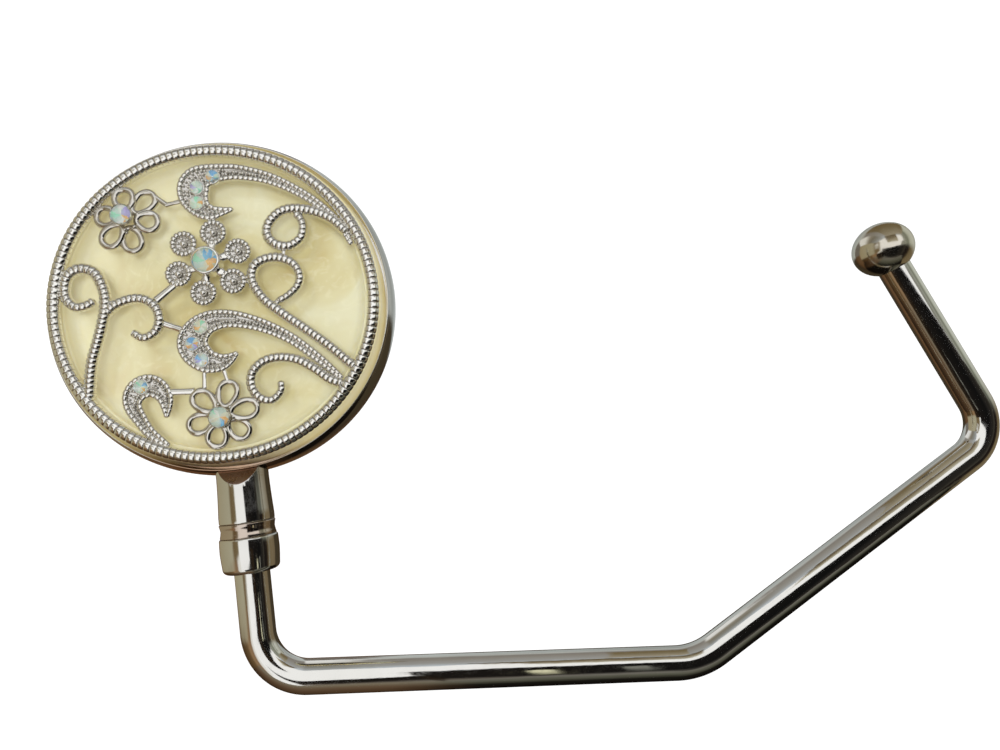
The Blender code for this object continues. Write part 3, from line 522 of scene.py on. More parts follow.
def make_resin():
    """The poured resin: a field that swells a little, a cove and a raised rim."""
    bottom = CASE_FLOOR_Z + 0.3
    flat_radius = FIELD - DISH_COVE
    rings = 26
    profile = [(flat_radius * i / rings, DISH_FLOOR_Z) for i in range(rings + 1)]
    profile += arc((flat_radius, DISH_FLOOR_Z + DISH_COVE), DISH_COVE, -90.0, 0.0, 12)[1:]
    profile += [(FIELD, DISH_RIM_Z - 0.15), (FIELD + 0.05, DISH_RIM_Z - 0.04), (FIELD + 0.15, DISH_RIM_Z)]
    profile += arc((DISH_RADIUS - DISH_TAPER - RIM_ROUND, DISH_RIM_Z - RIM_ROUND), RIM_ROUND, 90.0, 12.0, 6)
    profile += [(DISH_RADIUS, CASE_LIP_Z), (DISH_RADIUS, bottom), (0.0, bottom)]
    form = Form()
    form.turned(profile, 192)
    for p in form.points:
        if p.z > CASE_LIP_Z - 0.5 and p.xy.length < flat_radius:
            swell = math.sin(0.45 * p.x + 0.8) * math.cos(0.38 * p.y - 0.4)
            swell += 0.5 * math.sin(0.9 * p.y + 0.5 * p.x)
            p.z += SWELL * swell * min(1.0, (flat_radius - p.xy.length) / 3.0)
    mesh = form.mesh("resin_inlay", 50.0)
    mesh.materials.append(RESIN)
    mesh.materials.append(RESIN_EDGE)
    for face in mesh.polygons:
        face.material_index = 1 if face.center.xy.length > WALL_START * MM else 0
    piece("resin_inlay", mesh, None, "resin_dish", slot="ivory_resin")


def make_ring():
    form = Form()
    path = circle(RING_RADIUS, RING_RIDGES * STATIONS_PER_RIDGE, WIRE_Z, centre=RING_SHIFT)
    ridge_wire(form, path, RING_WIRE, depth=0.14, sides=18, closed=True)
    form_piece(form, "ring_milling", CASTING, "milled_ring")


# Filigree: scrolls, plumes and flowers

# Each scroll: its radius, what share of it the inner tip keeps, and its path in millimetres
SCROLLS = {
    "scroll_upper_right": (0.72, 0.75, [
        (17.6, 6.9), (15.4, 9.15), (12.41, 10.53), (9.78, 10.65), (7.95, 9.38), (7.42, 7.84),
        (8.19, 6.45), (9.88, 5.91), (11.45, 6.70), (12.0, 8.2), (11.75, 9.4), (11.1, 10.15)
    ]),
    "scroll_right": (0.73, 0.7, [
        (16.7, -10.7), (15.6, -9.6), (13.44, -7.31), (10.79, -4.9), (8.39, -2.83), (6.29, -0.79),
        (5.07, 1.44), (5.1, 3.24), (6.22, 4.33), (8.28, 4.56), (10.22, 3.59), (10.93, 2.0), (10.49, 0.54),
        (9.21, -0.52), (7.84, -1.12)
    ]),
    "scroll_lower_right": (0.70, 0.75, [
        (14.9, -12.6), (13.3, -11.9), (11.5, -10.3), (9.5, -8.92), (7.25, -8.36), (5.2, -8.7),
        (3.78, -10.01), (3.61, -11.75), (4.47, -13.17), (5.85, -13.64), (7.05, -12.7), (7.23, -11.31)
    ]),
    "scroll_left": (0.76, 0.8, [
        (-16.16, -10.76), (-15.82, -8.21), (-15.36, -5.95), (-14.65, -3.99), (-13.91, -1.74),
        (-13.28, 0.83), (-13.39, 2.9), (-14.2, 4.92), (-15.81, 5.69), (-17.3, 5.13), (-17.95, 3.75),
        (-17.9, 2.1), (-16.95, 0.95), (-15.6, 0.95), (-14.5, 1.5)
    ]),
    "scroll_left_branch": (0.70, 0.80, [
        (-13.3, -0.3), (-12.1, 0.65), (-10.04, 1.2), (-8.38, 0.86), (-7.22, -0.3), (-6.94, -1.96),
        (-7.62, -3.35), (-9.07, -3.92), (-10.4, -3.03)
    ]),
}
# A plume's spine in millimetres, each place with half the width between its two edge wires
PLUMES = {
    "plume_top": [
        (3.5, 11.5, 0.0), (2.1, 11.3, 0.32), (0.7, 11.3, 0.68), (-0.35, 11.85, 1.0), (-1.0, 12.8, 1.38),
        (-1.3, 13.9, 1.66), (-1.15, 15.0, 1.74), (-0.45, 15.85, 1.52), (0.8, 16.3, 1.14), (2.5, 16.45, 0.86),
        (4.7, 16.25, 0.70), (8.3, 15.1, 0.50), (11.7, 13.1, 0.36), (14.4, 10.9, 0.26), (16.8, 7.9, 0.20),
        (17.95, 5.2, 0.08),
    ],
    "plume_middle": [
        (2.3, -7.1, 0.0), (1.13, -7.84, 0.5), (-0.1, -8.13, 0.9), (-1.61, -7.75, 1.25), (-2.74, -6.62, 1.55),
        (-3.18, -5.29, 1.65), (-2.55, -3.91, 1.5), (-1.1, -2.91, 1.2), (1.0, -2.65, 0.92), (3.5, -3.18, 0.72),
        (6.29, -4.38, 0.55), (8.98, -6.09, 0.42), (11.43, -8.28, 0.32), (13.3, -10.2, 0.22),
        (14.9, -12.0, 0.08),
    ],
    "plume_bottom": [
        (-7.15, -14.3, 0.0), (-6.99, -12.85, 0.45), (-7.14, -11.66, 0.74), (-7.75, -10.64, 1.0),
        (-8.85, -10.02, 1.15), (-10.11, -10.3, 1.17), (-10.92, -11.25, 1.02), (-11.02, -12.47, 0.78),
        (-10.4, -13.89, 0.6), (-9.3, -15.8, 0.4), (-7.2, -17.9, 0.15),
    ],
}
PLUME_STONES = {
    "plume_top": [(1.35, 15.95), (-0.75, 14.70), (-0.95, 12.70)],
    "plume_middle": [(-1.95, -3.32), (-3.16, -5.38), (-2.22, -7.56)],
    "plume_bottom": [(-9.83, -10.05)],
}
PLUME_WIRE = 0.38
PLUME_STONE_RADIUS, LOOP_STONE_RADIUS, CENTRE_STONE_RADIUS = 0.86, 1.20, 1.45
FLOWER_UPPER_LEFT = (-9.66, 11.48)
FLOWER_CENTRE = (-0.28, 4.82)
FLOWER_LOWER = (-0.41, -14.85)
# Each wire petal's direction in degrees and its reach from the flower's middle
UPPER_LEFT_PETALS = [(-13.8, 4.20), (43.2, 4.90), (94.7, 4.30), (166.6, 4.35), (225.2, 4.75), (276.0, 4.60)]
LOWER_PETALS = [(8.4, 4.90), (72.0, 4.80), (135.0, 4.85), (193.5, 4.75), (252.3, 4.35), (315.0, 4.45)]
UPPER_LEFT_STONE = (-9.95, 11.72)
LOWER_STONE = (-0.42, -15.10)
# Grains of solder between two petals: each one's place from the flower's middle and its radius
SOLDER_GRAINS = [((1.42, 0.0, 0.30), 0.34), ((1.75, 0.22, 0.12), 0.24), ((1.78, -0.24, 0.05), 0.22)]
# The round flower's petals: their distance from its middle and the first one's direction
PETAL_DISTANCE, PETAL_TURN = 3.95, math.radians(16.0)
# Short plain bars: the node that carries each, its two ends and its radius
LINKS = [
    ("flower_upper_left", (-6.1, 14.1), (-4.8, 12.95), 0.34),
    ("flower_upper_left", (-4.9, 12.9), (-3.0, 13.2), 0.32),
    ("flower_centre", (-4.1, 2.85), (-7.1, 0.70), 0.58),
    ("plume_middle", (-3.8, -3.70), (-7.0, -2.15), 0.50),
    ("plume_middle", (-2.1, -8.7), (-2.3, -11.3), 0.34),
    ("plume_middle", (0.25, -9.0), (0.65, -10.8), 0.34),
    ("plume_bottom", (-6.7, -11.1), (-3.5, -11.4), 0.50),
    ("scroll_upper_right", (9.3, 6.0), (9.1, 4.4), 0.34),
    ("scroll_right", (8.1, -0.85), (7.15, -1.85), 0.42),
]


def make_links(form, name):
    """The short bars of one node, a little thinner in the middle."""
    for node, start, end, radius in LINKS:
        if node == name:
            path = resample(flat([start, end], WIRE_Z - 0.1), 0.25)
            last = len(path) - 1
            radii = [radius * (0.88 + 0.12 * abs(2 * i / last - 1)) for i in range(last + 1)]
            form.tube(path, radii, sides=16, squash=0.75)


def make_scrolls():
    for name, (radius, tip, control) in SCROLLS.items():
        form = Form()
        path = catmull(flat(control), RIDGE_PITCH / STATIONS_PER_RIDGE)
        ridge_wire(form, path, radius, depth=0.20, sides=14, tips=(1.0, tip))
        make_links(form, name)
        form_piece(form, f"{name}_milled", CASTING, name)


def plume_edge(spine, side):
    """One edge wire's path, set off from the spine by the half width there."""
    found = []
    for i, p in enumerate(spine):
        ahead = spine[min(len(spine) - 1, i + 1)] - spine[max(0, i - 1)]
        aside = Vector((-ahead.y, ahead.x)).normalized() * (max(0.0, p.z) * side)
        found.append(Vector((p.x + aside.x, p.y + aside.y, WIRE_Z)))
    return found


def plume_web(form, left, right):
    """A thin web between the edges, hollowed a little, with its underside flat."""
    loops = []
    across = 8
    for a, b in list(zip(left, right))[::2]:
        places = [a.lerp(b, k / across) for k in range(across + 1)]
        upper = [p + Vector((0.0, 0.0, 0.02 - 0.16 * math.sin(math.pi * k / across)))
                 for k, p in enumerate(places)]
        lower = [p - Vector((0.0, 0.0, 0.30)) for p in reversed(places)]
        # The web takes half the painted groove shade
        loops.append(form.loop(upper + lower, 0.5))
    form.skin(loops)


def plume_beads(form, spine, stones, rng):
    """Beads between the edges: one row down the tail, more side by side where it widens."""
    run = 0.0
    for i in range(1, len(spine) - 1):
        run += (spine[i].xy - spine[i - 1].xy).length
        if run < BEAD_ROW_PITCH:
            continue
        run -= BEAD_ROW_PITCH
        width = 2 * (spine[i].z - PLUME_WIRE)
        count = max(1, int(width / BEAD_ROW_PITCH)) if width > -0.1 else 0
        for k in range(count):
            t = 0.5 if count == 1 else k / (count - 1)
            reach = (t - 0.5) * max(0.0, width - 0.35)
            ahead = (spine[i + 1].xy - spine[i - 1].xy).normalized()
            place = spine[i].xy + Vector((-ahead.y, ahead.x)) * reach
            place += Vector((rng.uniform(-0.05, 0.05), rng.uniform(-0.05, 0.05)))
            if min((place - s).length for s in stones) < STONE_CLEARANCE:
                continue
            size = rng.uniform(0.19, 0.24)
            form.bead(Vector((place.x, place.y, WIRE_Z + rng.uniform(0.04, 0.14))), size)


def make_plumes():
    rng = random.Random(11)
    for name, control in PLUMES.items():
        spine = catmull([Vector(p) for p in control], 0.12)
        left, right = plume_edge(spine, 1.0), plume_edge(spine, -1.0)
        form = Form()
        for side in (left, right):
            path = resample(side, RIDGE_PITCH / STATIONS_PER_RIDGE)
            ridge_wire(form, path, PLUME_WIRE, depth=0.26, sides=12, tips=(0.8, 0.8), taper=0.1)
        plume_web(form, left, right)
        stones = [Vector(place) for place in PLUME_STONES[name]]
        plume_beads(form, spine, stones, rng)
        # Six grains and a low bezel hold each stone
        for s in stones:
            for place in circle(0.97, 6, WIRE_Z + 0.27, shift=0.5, centre=s):
                form.bead(place, 0.20)
            form.place = Matrix.Translation((s.x, s.y, WIRE_Z))
            form.turned([(0.76, 0.30), (0.90, 0.34), (1.00, 0.28), (1.03, -0.2), (0.76, -0.2)], 24)
            form.place = Matrix.Identity(4)
        make_links(form, name)
        form_piece(form, f"{name}_beaded", CASTING, name)


def cup_profile(seat, stone_radius, lip, foot_radius):
    """A turned cup on a narrow foot that flares out to a thin lip round the stone's girdle."""
    bore = stone_radius + 0.05
    outer = stone_radius + 0.20
    return [(stone_radius - 0.25, seat - 0.1), (bore, seat - 0.1), (bore, lip - 0.05),
            (bore + 0.06, lip), (outer - 0.04, lip - 0.02), (outer, lip - 0.08),
            (outer - 0.05, seat - 0.35), (outer - 0.25, seat - 0.65),
            (foot_radius, 0.45), (foot_radius, -0.3), (foot_radius - 0.3, -0.3)]


def loop_petal(form, reach, uneven):
    """A petal of bent wire along X, wider towards its tip; its thickness varies a little."""
    root, wire, half_width, count = 1.15, 0.43, 1.12, 48
    half = (reach - wire - root) / 2
    path = []
    radii = []
    for k in range(count):
        a = math.tau * k / count
        path.append(Vector((root + half * (1.0 - math.cos(a)),
                            half_width * math.sin(a) * (1.0 - 0.20 * math.cos(a)), 0.0)))
        radii.append(wire * (1.0 + 0.05 * math.sin(5 * a + uneven)))
    form.tube(path, radii, sides=14, closed=True)


def make_loop_flowers():
    seat = SEAT_Z - WIRE_Z
    for name, middle, cup, petals in (
            ("flower_upper_left", FLOWER_UPPER_LEFT, UPPER_LEFT_STONE, UPPER_LEFT_PETALS),
            ("flower_lower", FLOWER_LOWER, LOWER_STONE, LOWER_PETALS)):
        form = Form()
        centre = Vector((*middle, WIRE_Z))
        for i, (turn_deg, reach) in enumerate(petals):
            turn = math.radians(turn_deg)
            # Alternate petals lie a little higher, and all slope down from the cup
            lift, tilt_deg = (0.12, 5.0) if i % 2 else (0.24, 3.0)
            form.place = (Matrix.Translation(centre + Vector((0.0, 0.0, lift)))
                          @ Matrix.Rotation(turn, 4, "Z")
                          @ Matrix.Rotation(math.radians(tilt_deg), 4, "Y"))
            loop_petal(form, reach, i)
            # Grains of solder gathered where two petals meet
            form.place = Matrix.Translation(centre) @ Matrix.Rotation(turn + math.radians(30.0), 4, "Z")
            for place, radius in SOLDER_GRAINS:
                form.bead(Vector(place), radius, sides=10, rows=8)
        form.place = Matrix.Translation((*cup, WIRE_Z))
        form.turned(cup_profile(seat, stone_radius=1.16, lip=seat + 0.22, foot_radius=0.85), 40)
        for place in circle(1.26, 6, seat + 0.17, shift=0.5):
            form.bead(place, 0.17)
        form.place = Matrix.Identity(4)
        make_links(form, name)
        form_piece(form, f"{name}_wires", LOOPS, name, 50.0)


def make_round_flower():
    """Six round petals, each a beaded rim round a dish with grains, about a bezel."""
    form = Form()
    centre = Vector((*FLOWER_CENTRE, WIRE_Z))
    rim_beads = 16
    for middle in circle(PETAL_DISTANCE, 6, turn=PETAL_TURN):
        a = math.atan2(middle.y, middle.x)
        form.place = Matrix.Translation(centre + middle)
        rim = circle(1.33, rim_beads * STATIONS_PER_RIDGE)
        ridge_wire(form, rim, radius=0.43, depth=0.42, sides=14, closed=True)
        dish = [(0.0, -0.20), (0.6, -0.16), (1.15, -0.02), (1.25, -0.05), (1.25, -0.32), (0.0, -0.32)]
        # The dish takes half the painted groove shade
        form.turned(dish, 32, [0.5] * len(dish))
        form.bead(Vector((0.0, 0.0, 0.12)), 0.44, rise=0.9, sides=14, rows=9)
        for place in circle(0.74, 6, -0.03, shift=0.5, turn=a):
            form.bead(place, 0.22)
        # The stalk that joins the petal to the bezel
        form.place = Matrix.Translation(centre) @ Matrix.Rotation(a, 4, "Z")
        stalk = [Vector((1.4, 0.0, 0.05)), Vector((2.0, 0.0, -0.02)), Vector((2.75, 0.0, -0.02))]
        form.tube(stalk, [0.75, 0.58, 0.62], sides=12, squash=0.6)
    form.place = Matrix.Translation(centre)
    seat = SEAT_Z - WIRE_Z
    form.turned([(1.2, seat - 0.1), (1.49, seat - 0.1), (1.48, seat + 0.20), (1.55, seat + 0.29),
                 (1.68, seat + 0.29), (1.78, seat + 0.18), (1.80, seat - 0.5), (1.84, 0.45), (1.94, 0.10),
                 (1.96, -0.3), (1.2, -0.3)], 64)
    form.place = Matrix.Identity(4)
    make_links(form, "flower_centre")
    form_piece(form, "flower_centre_beaded", CASTING, "flower_centre", 50.0)


# Stones

PALE_TINTS = [(0.78, 0.88, 0.72), (0.70, 0.86, 0.76), (0.86, 0.84, 0.62), (0.66, 0.82, 0.72),
              (0.96, 0.98, 0.94)]
BLUE, ORANGE = (0.08, 0.52, 0.98), (1.00, 0.50, 0.06)
VIOLET, GREEN = (0.52, 0.42, 0.90), (0.36, 0.92, 0.62)
# Painted glints of the iridescent coat: the vivid sectors of each stone, the direction of each in degrees and
# its tint
GLINT_SECTORS = {
    "plume_top_1": [(60.0, BLUE), (100.0, BLUE), (170.0, ORANGE), (-60.0, GREEN)],
    "plume_top_2": [(150.0, VIOLET), (-90.0, GREEN)],
    "plume_top_3": [(-25.0, ORANGE), (80.0, GREEN)],
    "plume_middle_1": [(60.0, GREEN), (200.0, ORANGE)],
    "plume_middle_2": [(80.0, BLUE), (120.0, BLUE), (200.0, ORANGE), (-20.0, ORANGE), (-80.0, VIOLET)],
    "plume_middle_3": [(180.0, VIOLET), (-50.0, ORANGE), (140.0, BLUE)],
    "plume_bottom_1": [(120.0, GREEN), (-60.0, ORANGE), (20.0, BLUE)],
    "flower_upper_left": [(150.0, GREEN), (45.0, VIOLET), (0.0, VIOLET), (-70.0, ORANGE)],
    "flower_lower": [(-20.0, ORANGE), (-90.0, BLUE), (140.0, GREEN)],
    "flower_centre": [(20.0, BLUE), (60.0, BLUE), (-40.0, ORANGE), (-85.0, ORANGE), (150.0, GREEN)],
}


def cut_stone(label, x, y, girdle_z, radius, seed):
    """A brilliant-cut stone: clear table and crown facets over a foiled, tinted pavilion."""
    rng = random.Random(seed)
    turn = 0.3 * seed
    sectors = [rng.choice(PALE_TINTS) for k in range(8)]
    # Painted glints: the vivid sectors take the place of pale tints
    for direction_deg, vivid in GLINT_SECTORS[label]:
        sectors[round((math.radians(direction_deg) - turn) / (math.tau / 8) - 0.5) % 8] = vivid
    form = bmesh.new()
    tint = form.faces.layers.float_color.new("tint")

    def ring(count, share, rise, shift):
        places = circle(share * radius, count, girdle_z + rise * radius, shift, (x, y), turn)
        return [form.verts.new(p * MM) for p in places]

    # Each ring's corners, its radius and its height over the girdle, both as shares of the stone's
    table = ring(8, 0.56, 0.40, 0.0)
    star = ring(8, 0.76, 0.27, 0.5)
    girdle = ring(16, 1.0, 0.06, 0.0)
    under = ring(16, 1.0, -0.01, 0.0)
    lower = ring(8, 0.45, -0.36, 0.5)
    culet = form.verts.new(Vector((x, y, girdle_z - 0.55 * radius)) * MM)
    crown = [table]
    foil = []
    for k in range(8):
        n = (k + 1) % 8
        left, middle, right = 2 * k, 2 * k + 1, (2 * k + 2) % 16
        crown += [(table[k], star[k], table[n]), (table[n], star[k], girdle[right], star[n]),
                  (star[k], girdle[left], girdle[middle]), (star[k], girdle[middle], girdle[right])]
        foil += [(under[left], lower[k], under[middle]), (under[middle], lower[k], under[right]),
                 (under[right], lower[k], culet, lower[n])]
    for k in range(16):
        n = (k + 1) % 16
        crown.append((girdle[k], under[k], under[n], girdle[n]))
    crown_faces = [form.faces.new(corners) for corners in crown]
    foil_faces = [form.faces.new(corners) for corners in foil]
    for i, face in enumerate(foil_faces):
        face.material_index = 1
        face[tint] = (*(sectors[i // 3] if rng.random() < 0.85 else rng.choice(PALE_TINTS)), 1.0)
    for i, face in enumerate(crown_faces):
        face[tint] = (*[0.25 * v + 0.74 for v in sectors[(i - 1) // 4 % 8]], 1.0)
    bmesh.ops.recalc_face_normals(form, faces=form.faces)
    mesh = bpy.data.meshes.new(f"crystal_{label}")
    form.to_mesh(mesh)
    form.free()
    mesh.materials.append(CROWN)
    mesh.materials.append(FOIL)
    piece(f"crystal_{label}", mesh, None, f"stone_{label}", slot="iridescent_crystal")


def make_stones():
    stones = [(f"{name}_{i + 1}", *place, WIRE_Z + 0.32, PLUME_STONE_RADIUS)
              for name, places in PLUME_STONES.items() for i, place in enumerate(places)]
    girdle_z = SEAT_Z + 0.12
    stones += [("flower_upper_left", *UPPER_LEFT_STONE, girdle_z, LOOP_STONE_RADIUS),
               ("flower_lower", *LOWER_STONE, girdle_z, LOOP_STONE_RADIUS),
               ("flower_centre", *FLOWER_CENTRE, girdle_z, CENTRE_STONE_RADIUS)]
    for seed, stone in enumerate(stones, 4):
        cut_stone(*stone, seed)


# Socket, neck and arm


def down_stem(distance):
    """Turns what is made about Z so that it runs down the stem from the distance."""
    return Matrix.Translation((0.0, -distance, STEM_Z)) @ Matrix.Rotation(math.radians(90.0), 4, "X")


def soften_cut(mesh, width):
    """Rounds the edges where faces of two materials meet."""
    form = bmesh.new()
    form.from_mesh(mesh)
    bmesh.ops.remove_doubles(form, verts=form.verts, dist=0.002 * MM)
    edges = [e for e in form.edges if len({f.material_index for f in e.link_faces}) == 2]
    bmesh.ops.bevel(form, geom=edges, offset=width * MM, segments=2, profile=0.5, affect="EDGES",
                    clamp_overlap=True, material=0)
    form.to_mesh(mesh)
    form.free()


def tube_blank():
    """The socket's tube before it is cut: a bore, a rounded mouth and a long flare towards it."""
    length = TUBE_END - TUBE_START
    start = BORE_START - TUBE_START
    bore = 2.25
    profile = [(0.0, start), (bore, start), (bore, length)]
    profile += arc((MOUTH_R - 0.15, length - 0.15), 0.15, 90.0, 0.0, 4)
    for i in range(9):
        share = i / 8
        flare = (MOUTH_R - TUBE_R) * (1.0 - share) ** 1.5
        profile.append((TUBE_R + flare, length - 0.9 - (length - 1.0) * share))
    form = Form(down_stem(TUBE_START))
    form.turned(profile + [(TUBE_R, -4.0), (0.0, -4.0)], 96)
    return new_object("tube_blank", form.mesh("tube_blank", SOCKET_SHARP_DEG))


def saddle_cutter():
    """The case's outside, a hair larger, and the room above it."""
    gap = 0.03
    lean = math.degrees(math.asin((CASE_LIP_Z - SHOULDER_Z) / SHOULDER_ROUND))
    profile = [(0.0, 12.0), (DISH_RADIUS + 0.04, 12.0), (DISH_RADIUS + 0.04, CASE_LIP_Z + gap)]
    profile += arc((CASE_RADIUS - SHOULDER_ROUND + gap, SHOULDER_Z), SHOULDER_ROUND, lean, 0.0, 12)
    form = Form()
    form.turned(profile + [(CASE_RADIUS + gap, -2.0), (0.0, -2.0)], 256)
    return new_object("saddle_cutter", form.mesh("saddle_cutter"))


def make_socket():
    """The tube, cut to sit on the case and cut aslant at its top, where brazing metal shows."""
    side = 14.0
    bpy.ops.mesh.primitive_cube_add(size=side * MM)
    scarf = bpy.context.object
    slant = math.radians(SCARF_DEG)
    out = Vector((0.0, math.sin(slant), math.cos(slant)))
    edge = Vector((0.0, -(TUBE_START + SCARF_START), STEM_Z + TUBE_R))
    scarf.rotation_euler = (-slant, 0.0, 0.0)
    scarf.location = (edge + out * (side / 2)) * MM
    tube, saddle = tube_blank(), saddle_cutter()
    for cutter in (saddle, scarf):
        cutting = tube.modifiers.new(cutter.name, "BOOLEAN")
        cutting.operation = "DIFFERENCE"
        cutting.solver = "EXACT"
        cutting.object = cutter
    bpy.context.view_layer.update()
    mesh = bpy.data.meshes.new_from_object(tube.evaluated_get(bpy.context.evaluated_depsgraph_get()))
    mesh.name = "socket_tube_scarfed"
    mesh.shade_smooth()
    mesh.set_sharp_from_angle(angle=math.radians(SOCKET_SHARP_DEG))
    for used in (tube, saddle, scarf):
        bpy.data.objects.remove(used, do_unlink=True)
    mesh.materials.clear()
    mesh.materials.append(CASE)
    mesh.materials.append(BRAZE)
    for face in mesh.polygons:
        face.material_index = 1 if face.normal.dot(out) > 0.999 else 0
    soften_cut(mesh, 0.20)
    piece("socket_tube_scarfed", mesh, None, "socket_tube")


def make_bush():
    """The waisted band that shows, on a barrel that sits inside the tube."""
    length = BAND_END - BAND_START
    bore, barrel, barrel_end, edge = SPIGOT_R + 0.15, 2.2, -2.2, 0.12
    profile = [(bore, length)] + arc((BAND_R - edge, length - edge), edge, 90.0, 0.0, 3)
    profile += [(BAND_R - 0.10, length * 0.72), (BAND_R - 0.16, length * 0.5), (BAND_R - 0.10, length * 0.28)]
    profile += arc((BAND_R - edge, edge), edge, 0.0, -90.0, 3)
    profile += [(barrel, 0.0), (barrel, barrel_end), (bore, barrel_end)]
    turned_piece(profile, 96, "neck_bush_waisted", BUSH, "neck_bush", 40.0, down_stem(BAND_START),
                 slot="plated_bush")


def bent_path(corners, radii, points):
    """A path along straight runs, with an arc of its own radius at each corner between them."""
    found = [corners[0]]
    for before, corner, after, radius in zip(corners, corners[1:], corners[2:], radii):
        back = (before - corner).normalized()
        ahead = (after - corner).normalized()
        half = back.angle(ahead) / 2
        centre = corner + (back + ahead).normalized() * (radius / math.sin(half))
        first = corner + back * (radius / math.tan(half))
        last = corner + ahead * (radius / math.tan(half))
        turn = (first - centre).rotation_difference(last - centre)
        for i in range(points + 1):
            found.append(centre + Quaternion(turn.axis, turn.angle * i / points) @ (first - centre))
    found.append(corners[-1])
    return found


def arm_corners():
    """The arm's corners from the stem's foot to the ball's centre."""
    corners = [Vector((0.0, -STEM_LENGTH, STEM_Z))]
    for length, angle_deg in ARM_RUNS:
        a = math.radians(angle_deg)
        corners.append(corners[-1] + length * Vector((math.cos(a), math.sin(a), 0.0)))
    return corners


def make_rod():
    """The bent rod, down to its turned spigot with the peened head."""
    peen_end = PEEN_START + PEEN_LENGTH
    steps = [(PEEN_START, 1.7), (PEEN_START + 0.12, 2.0), (PEEN_START + 0.3, PEEN_R),
             (peen_end - 0.1, PEEN_R), (peen_end, SPIGOT_R),
             (COLLAR_START + 0.1, SPIGOT_R), (COLLAR_START + 0.2, ROD_R)]
    path = [Vector((0.0, -distance, STEM_Z)) for distance, radius in steps]
    radii = [radius for distance, radius in steps]
    corners = arm_corners()
    into_ball = (corners[-2] - corners[-1]).normalized() * (BALL_GRIP * BALL_R)
    bends = bent_path([path[-1]] + corners[:-1] + [corners[-1] + into_ball], BEND_RADII, 24)[1:]
    for p, q in zip([path[-1]] + bends, bends):
        parts = max(1, round((q - p).length / 2.0))
        path += [p.lerp(q, (i + 1) / parts) for i in range(parts)]
    form = Form()
    form.tube(path, radii + [ROD_R] * (len(path) - len(radii)), sides=64)
    form_piece(form, "arm_rod_polished", ROD, "arm_rod", 40.0, body="arm")


def make_collar():
    """The collar on the rod, rounded towards the arm and a little barrel-shaped."""
    length = COLLAR_END - COLLAR_START
    profile = [(ROD_HOLE_R, length)] + arc((COLLAR_R - 0.85, length - 0.7), 0.7, 90.0, 0.0, 8)
    profile += [(COLLAR_R - 0.06, length * 0.62), (COLLAR_R, length * 0.4), (COLLAR_R - 0.02, length * 0.2)]
    profile += arc((COLLAR_R - 0.30, 0.25), 0.25, 0.0, -90.0, 5) + [(ROD_HOLE_R, 0.0)]
    turned_piece(profile, 96, "swivel_collar_rounded", CASE, "swivel_collar", 50.0,
                 down_stem(COLLAR_START), body="arm")


def make_ball():
    """The slightly flattened ball, with the hole that takes the rod's end."""
    place = (Matrix.Translation(arm_corners()[-1]) @ Matrix.Rotation(math.radians(ARM_RUNS[-1][1]), 4, "Z")
             @ Matrix.Rotation(math.radians(90.0), 4, "Y"))
    mouth_deg = -math.degrees(math.acos(ROD_HOLE_R / BALL_R))
    hole_end = 0.3 - BALL_GRIP * BALL_R
    profile = [(x, z * BALL_FLAT) for x, z in arc((0.0, 0.0), BALL_R, 90.0, mouth_deg, 48)]
    profile[0] = (0.0, BALL_R * BALL_FLAT)
    profile += [(ROD_HOLE_R, hole_end), (0.0, hole_end)]
    turned_piece(profile, 96, "end_ball_polished", BALL, "end_ball", 50.0, place, body="arm")


# The washer keeps the solid's own mesh
for washer_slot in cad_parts["retaining_washer"].material_slots:
    washer_slot.material = STEEL

make_pad()
make_case()
make_resin()
make_ring()
make_scrolls()
make_plumes()
make_loop_flowers()
make_round_flower()
make_stones()
make_socket()
make_bush()
make_rod()
make_collar()
make_ball()


# Stage, lights and camera

# The room's walls and the height of the cards over the part, in metres; axes by number
FLOOR_Z = -0.16
LEFT, RIGHT, FRONT, BACK, CEILING_Z = -0.14, 0.25, -0.145, 0.15, 0.110
X, Y, Z = 0, 1, 2


def bare_material(name):
    """A material that holds only its output yet."""
    mat = bpy.data.materials.new(name)
    mat.use_nodes = True
    mat.node_tree.nodes.clear()
    return mat, mat.node_tree, add_node(mat.node_tree, "OutputMaterial")


def seen_rays(tree):
    """1 for rays from the camera, off gloss and through glass."""
    path = add_node(tree, "LightPath").outputs
    most = path["Is Camera Ray"]
    for other in ("Is Glossy Ray", "Is Transmission Ray"):
        most = add_node(tree, "Math", {0: most, 1: path[other]}, operation="MAXIMUM").outputs[0]
    return most


def make_floor():
    """White where it is seen, and a soft grey for the light that it gives back."""
    bpy.ops.mesh.primitive_plane_add(size=6.0, location=(0.0, 0.0, FLOOR_Z))
    floor = bpy.context.object
    floor.name = "floor"
    mat, tree, out = bare_material("floor_white")
    strength = climb(tree, seen_rays(tree), 0.0, 1.0, 0.0, 0.86)
    glow = add_node(tree, "Emission", {"Strength": strength})
    matt = add_node(tree, "BsdfDiffuse", {"Color": (0.30, 0.30, 0.30)})
    both = add_node(tree, "AddShader", {0: matt.outputs[0], 1: glow.outputs[0]})
    put(out, {"Surface": both.outputs[0]})
    floor.data.materials.append(mat)


